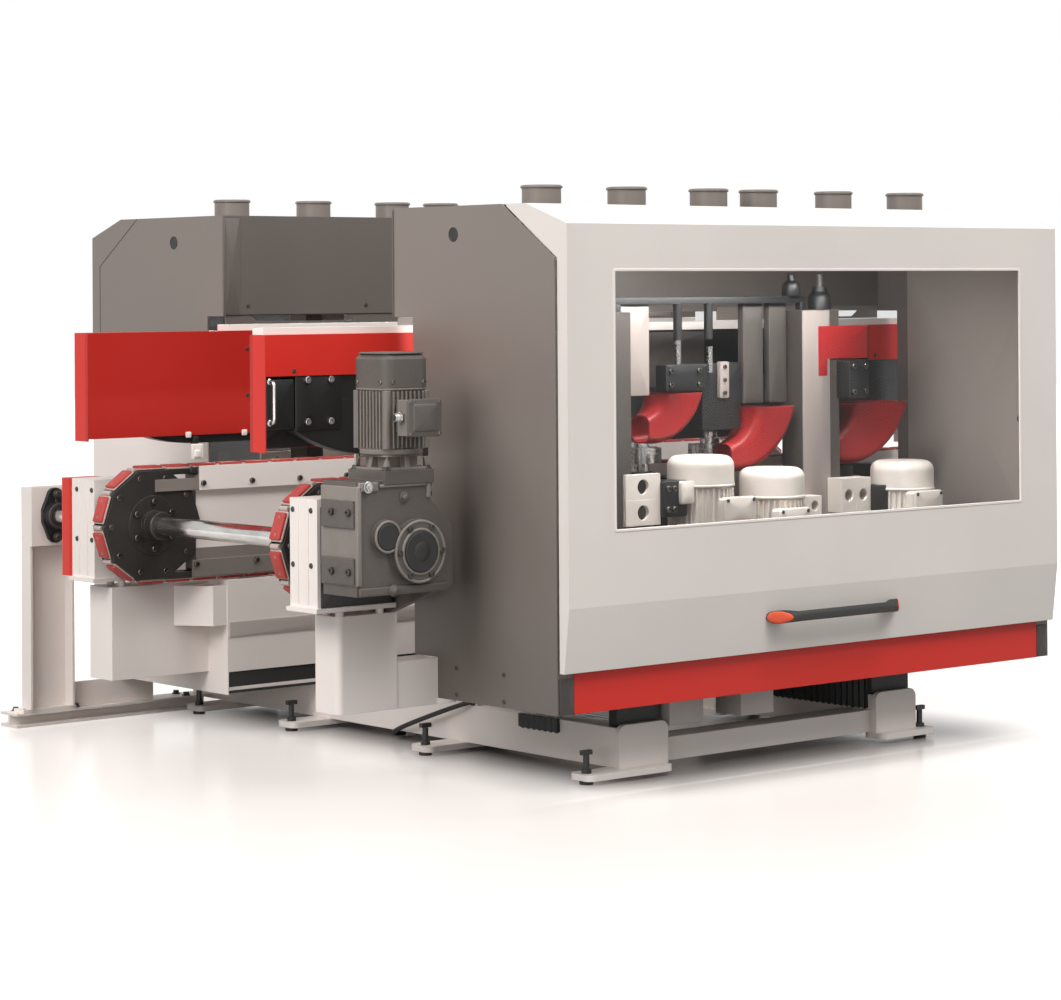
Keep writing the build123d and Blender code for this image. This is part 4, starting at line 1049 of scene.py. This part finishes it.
class TENONER_OT_cable(bpy.types.Operator):
    """Supply cable along the infeed cross beam, held in a saddle at its upper end"""

    bl_idname = "tenoner.cable"
    bl_label = "Lay the supply cable"

    def execute(self, context):
        route = [(-0.728, -0.388, 0.172), (-0.771, -0.388, 0.172),
                 (-0.771, 0.083, 0.012), (-0.655, 0.083, 0.012)]
        line = bpy.data.curves.new("supply_cable_jacket", "CURVE")
        line.dimensions = "3D"
        line.bevel_depth = 0.008
        line.bevel_resolution = 4
        line.resolution_u = 24
        line.use_fill_caps = True
        spline = line.splines.new("NURBS")
        spline.points.add(len(route) - 1)
        for point, place in zip(spline.points, route):
            point.co = (*place, 1.0)
        spline.order_u = 3
        spline.use_endpoint_u = True
        line.materials.append(FINISHES["cable_black"][0])
        jacket = bpy.data.objects.new("supply_cable_jacket", line)
        context.scene.collection.objects.link(jacket)
        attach(jacket, "base")
        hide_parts("supply_cable")
        collar = hoop([(8.6, 0), (13, 0), (13, 6), (11, 9), (8.6, 9)], 20)
        saddle = joined(block((-729, -699), (-411, -365), (184, 191), UP, 4, 2),
                        set_at(collar, (-728, -388, 172), LEFT))
        piece("cable_saddle", saddle, "black_paint", "base")
        screws = set_at(pan_screw(9), [(-714, y, 191) for y in (-402, -374)])
        piece("cable_saddle_screws", screws, "zinc", "base")
        return {"FINISHED"}


def stand(thing, right, up, back, place):
    """Sets an object's three axes and its place in the world."""
    pose = np.eye(4)
    pose[:3] = np.stack([right, up, back, place], 1)
    thing.matrix_world = Matrix(pose.tolist())


def seen_directly(tree):
    """1 where the camera, a mirror or a pane looks, 0 for light that falls on the machine."""
    path = add(tree, "ShaderNodeLightPath")
    seen = add(tree, "ShaderNodeMath", {0: path.outputs["Is Camera Ray"], 1: path.outputs["Is Glossy Ray"]},
               operation="MAXIMUM")
    seen = add(tree, "ShaderNodeMath", {0: seen.outputs[0], 1: path.outputs["Is Transmission Ray"]},
               operation="MAXIMUM")
    return seen.outputs[0]


def place_camera(scene):
    """The camera looks along a yaw and a pitch, turned about its view by a small roll."""
    camera = bpy.data.cameras.new("photo_camera")
    camera.sensor_fit = "HORIZONTAL"
    camera.sensor_width = 36.0
    camera.lens = 103.38
    camera.shift_y = -0.2205
    camera.clip_end = 200.0
    eye = bpy.data.objects.new("photo_camera", camera)
    scene.collection.objects.link(eye)
    yaw, pitch, roll = (math.radians(a) for a in (39.979, 0.479, -0.383))
    ahead = np.array([math.sin(yaw) * math.cos(pitch), math.cos(yaw) * math.cos(pitch), math.sin(pitch)])
    right = np.array([math.cos(yaw), -math.sin(yaw), 0.0])
    up = np.cross(right, ahead)
    stand(eye, math.cos(roll) * right + math.sin(roll) * up, math.cos(roll) * up - math.sin(roll) * right,
          -ahead, (-7.0938, -8.2908, 1.535))
    scene.camera = eye


def lay_floor(context):
    """A pale glossy floor. Where it is seen it glows, more so far away and not under the machine, so that
    it fades into the white backdrop and keeps the machine's shadow."""
    bpy.ops.mesh.primitive_plane_add(size=60)
    floor = context.object
    floor.name = "studio_floor"
    material, tree, shader = blank("pale_studio_floor", Roughness=0.22, IOR=1.4,
                                   Emission_Color=linear("#FFF9F5"))
    seen = seen_directly(tree)
    tone = add(tree, "ShaderNodeMix", {"Factor": seen, 6: grey(0.1), 7: linear("#A09B97")},
               data_type="RGBA")
    tree.links.new(tone.outputs[2], shader.inputs["Base Color"])
    place = add(tree, "ShaderNodeTexCoord")
    reach = add(tree, "ShaderNodeVectorMath", {0: place.outputs["Object"]}, operation="LENGTH")
    fade = add(tree, "ShaderNodeMapRange", {"Value": reach.outputs["Value"], "From Min": 2.0,
                                            "From Max": 6.5, "To Min": 0.53, "To Max": 0.93})
    # Distance from a rectangle under the machine: length of max(|p - middle| - half its size, 0).
    off = place.outputs["Object"]
    for operation, value in (("SUBTRACT", (0.05, 0.0, 0.0)), ("ABSOLUTE", None),
                             ("SUBTRACT", (0.67, 1.12, 0.0)), ("MAXIMUM", (0.0, 0.0, 0.0))):
        inputs = {0: off, 1: value} if value else {0: off}
        off = add(tree, "ShaderNodeVectorMath", inputs, operation=operation).outputs[0]
    off = add(tree, "ShaderNodeVectorMath", {0: off}, operation="LENGTH")
    clear = add(tree, "ShaderNodeMapRange", {"Value": off.outputs["Value"], "From Min": 0.02,
                                             "From Max": 0.5}, interpolation_type="SMOOTHSTEP")
    lit = add(tree, "ShaderNodeMath", {0: fade.outputs["Result"], 1: clear.outputs["Result"]},
              operation="MULTIPLY")
    glow = add(tree, "ShaderNodeMath", {0: lit.outputs[0], 1: seen}, operation="MULTIPLY")
    tree.links.new(glow.outputs[0], shader.inputs["Emission Strength"])
    floor.data.materials.append(material)


def light_backdrop(scene):
    """A white backdrop where it is seen, and a dome, brighter overhead, for light on the machine."""
    world = bpy.data.worlds.new("soft_studio")
    world.use_nodes = True
    tree = world.node_tree
    tree.nodes.clear()
    place = add(tree, "ShaderNodeTexCoord")
    split = add(tree, "ShaderNodeSeparateXYZ", {"Vector": place.outputs["Generated"]})
    dome = add(tree, "ShaderNodeMapRange", {"Value": split.outputs["Z"], "From Min": -0.1,
                                            "From Max": 0.9, "To Min": 0.2, "To Max": 1.0})
    strength = add(tree, "ShaderNodeMix", {"Factor": seen_directly(tree), "A": dome.outputs["Result"],
                                           "B": 1.0})
    light = add(tree, "ShaderNodeBackground", {"Color": grey(1.0),
                                               "Strength": strength.outputs["Result"]})
    add(tree, "ShaderNodeOutputWorld", {"Surface": light.outputs[0]})
    scene.world = world


def hang_lamps(scene):
    """Softboxes round the machine and a strip lamp under the roof of each unit, which rides with it."""
    for name, place, aim, size, power, body in (
            ("key_softbox", (0.8, -6.2, 8.4), (0.0, -0.6, 0.9), 5.0, 560, None),
            ("side_softbox", (-7.0, -1.6, 5.0), (-0.6, 0.0, 0.8), 4.0, 350, None),
            ("low_fill", (-5.5, -3.2, 0.9), (-0.8, -0.5, 0.2), 2.0, 36, None),
            ("moving_unit_strip", (-0.3, -1.22, 1.68), (-0.3, -0.85, 0.9), 1.5, 23, "moving_unit"),
            ("fixed_unit_strip", (0.0, 1.22, 1.68), (0.0, 0.85, 0.9), 1.7, 14, "base")):
        lamp = bpy.data.lights.new(name, "AREA")
        lamp.size = size
        lamp.energy = power
        holder = bpy.data.objects.new(name, lamp)
        holder.visible_camera = False
        scene.collection.objects.link(holder)
        back = np.array(place) - np.array(aim)
        back = back / np.linalg.norm(back)
        side = np.cross(UP, back)
        side = side / np.linalg.norm(side)
        stand(holder, side, np.cross(back, side), back, place)
        if body:
            lamp.shape = "RECTANGLE"
            lamp.size_y = 0.12
            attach(holder, body)


class TENONER_OT_studio(bpy.types.Operator):
    """Floor, backdrop, lamps and the camera at the photograph's viewing angle"""

    bl_idname = "tenoner.studio"
    bl_label = "Build the studio"

    def execute(self, context):
        context.scene.view_settings.view_transform = "Standard"
        place_camera(context.scene)
        lay_floor(context)
        light_backdrop(context.scene)
        hang_lamps(context.scene)
        return {"FINISHED"}


OPERATORS = (TENONER_OT_paint, TENONER_OT_doors, TENONER_OT_chains, TENONER_OT_wheels, TENONER_OT_gearbox,
             TENONER_OT_motor, TENONER_OT_tooling, TENONER_OT_pressure, TENONER_OT_enclosures,
             TENONER_OT_frame, TENONER_OT_cable, TENONER_OT_studio)


class TENONER_PT_sidebar(bpy.types.Panel):
    """Colours, sizes and the steps that dress the machine, in order"""

    bl_idname = "TENONER_PT_sidebar"
    bl_label = "Double end tenoner"
    bl_space_type = "VIEW_3D"
    bl_region_type = "UI"
    bl_category = "Tenoner"

    def draw(self, context):
        for group in (context.scene.tenoner_colours, context.scene.tenoner_sizes):
            for key in group.__annotations__:
                self.layout.prop(group, key)
        for step in OPERATORS:
            self.layout.operator(step.bl_idname)


CLASSES = (TenonerColours, TenonerSizes, *OPERATORS, TENONER_PT_sidebar)


def register():
    """Registers the classes and hangs the settings on the scene."""
    for item in CLASSES:
        bpy.utils.register_class(item)
    bpy.types.Scene.tenoner_colours = bpy.props.PointerProperty(type=TenonerColours)
    bpy.types.Scene.tenoner_sizes = bpy.props.PointerProperty(type=TenonerSizes)


def unregister():
    """Takes the settings off the scene and removes the classes."""
    del bpy.types.Scene.tenoner_sizes
    del bpy.types.Scene.tenoner_colours
    for item in reversed(CLASSES):
        bpy.utils.unregister_class(item)


def main():
    """Registers the classes and builds everything in order."""
    register()
    bpy.ops.tenoner.paint()
    bpy.ops.tenoner.doors()
    bpy.ops.tenoner.chains()
    bpy.ops.tenoner.wheels()
    bpy.ops.tenoner.gearbox()
    bpy.ops.tenoner.motor()
    bpy.ops.tenoner.tooling()
    bpy.ops.tenoner.pressure()
    bpy.ops.tenoner.enclosures()
    bpy.ops.tenoner.frame()
    bpy.ops.tenoner.cable()
    bpy.ops.tenoner.studio()


if __name__ == "__main__":
    main()
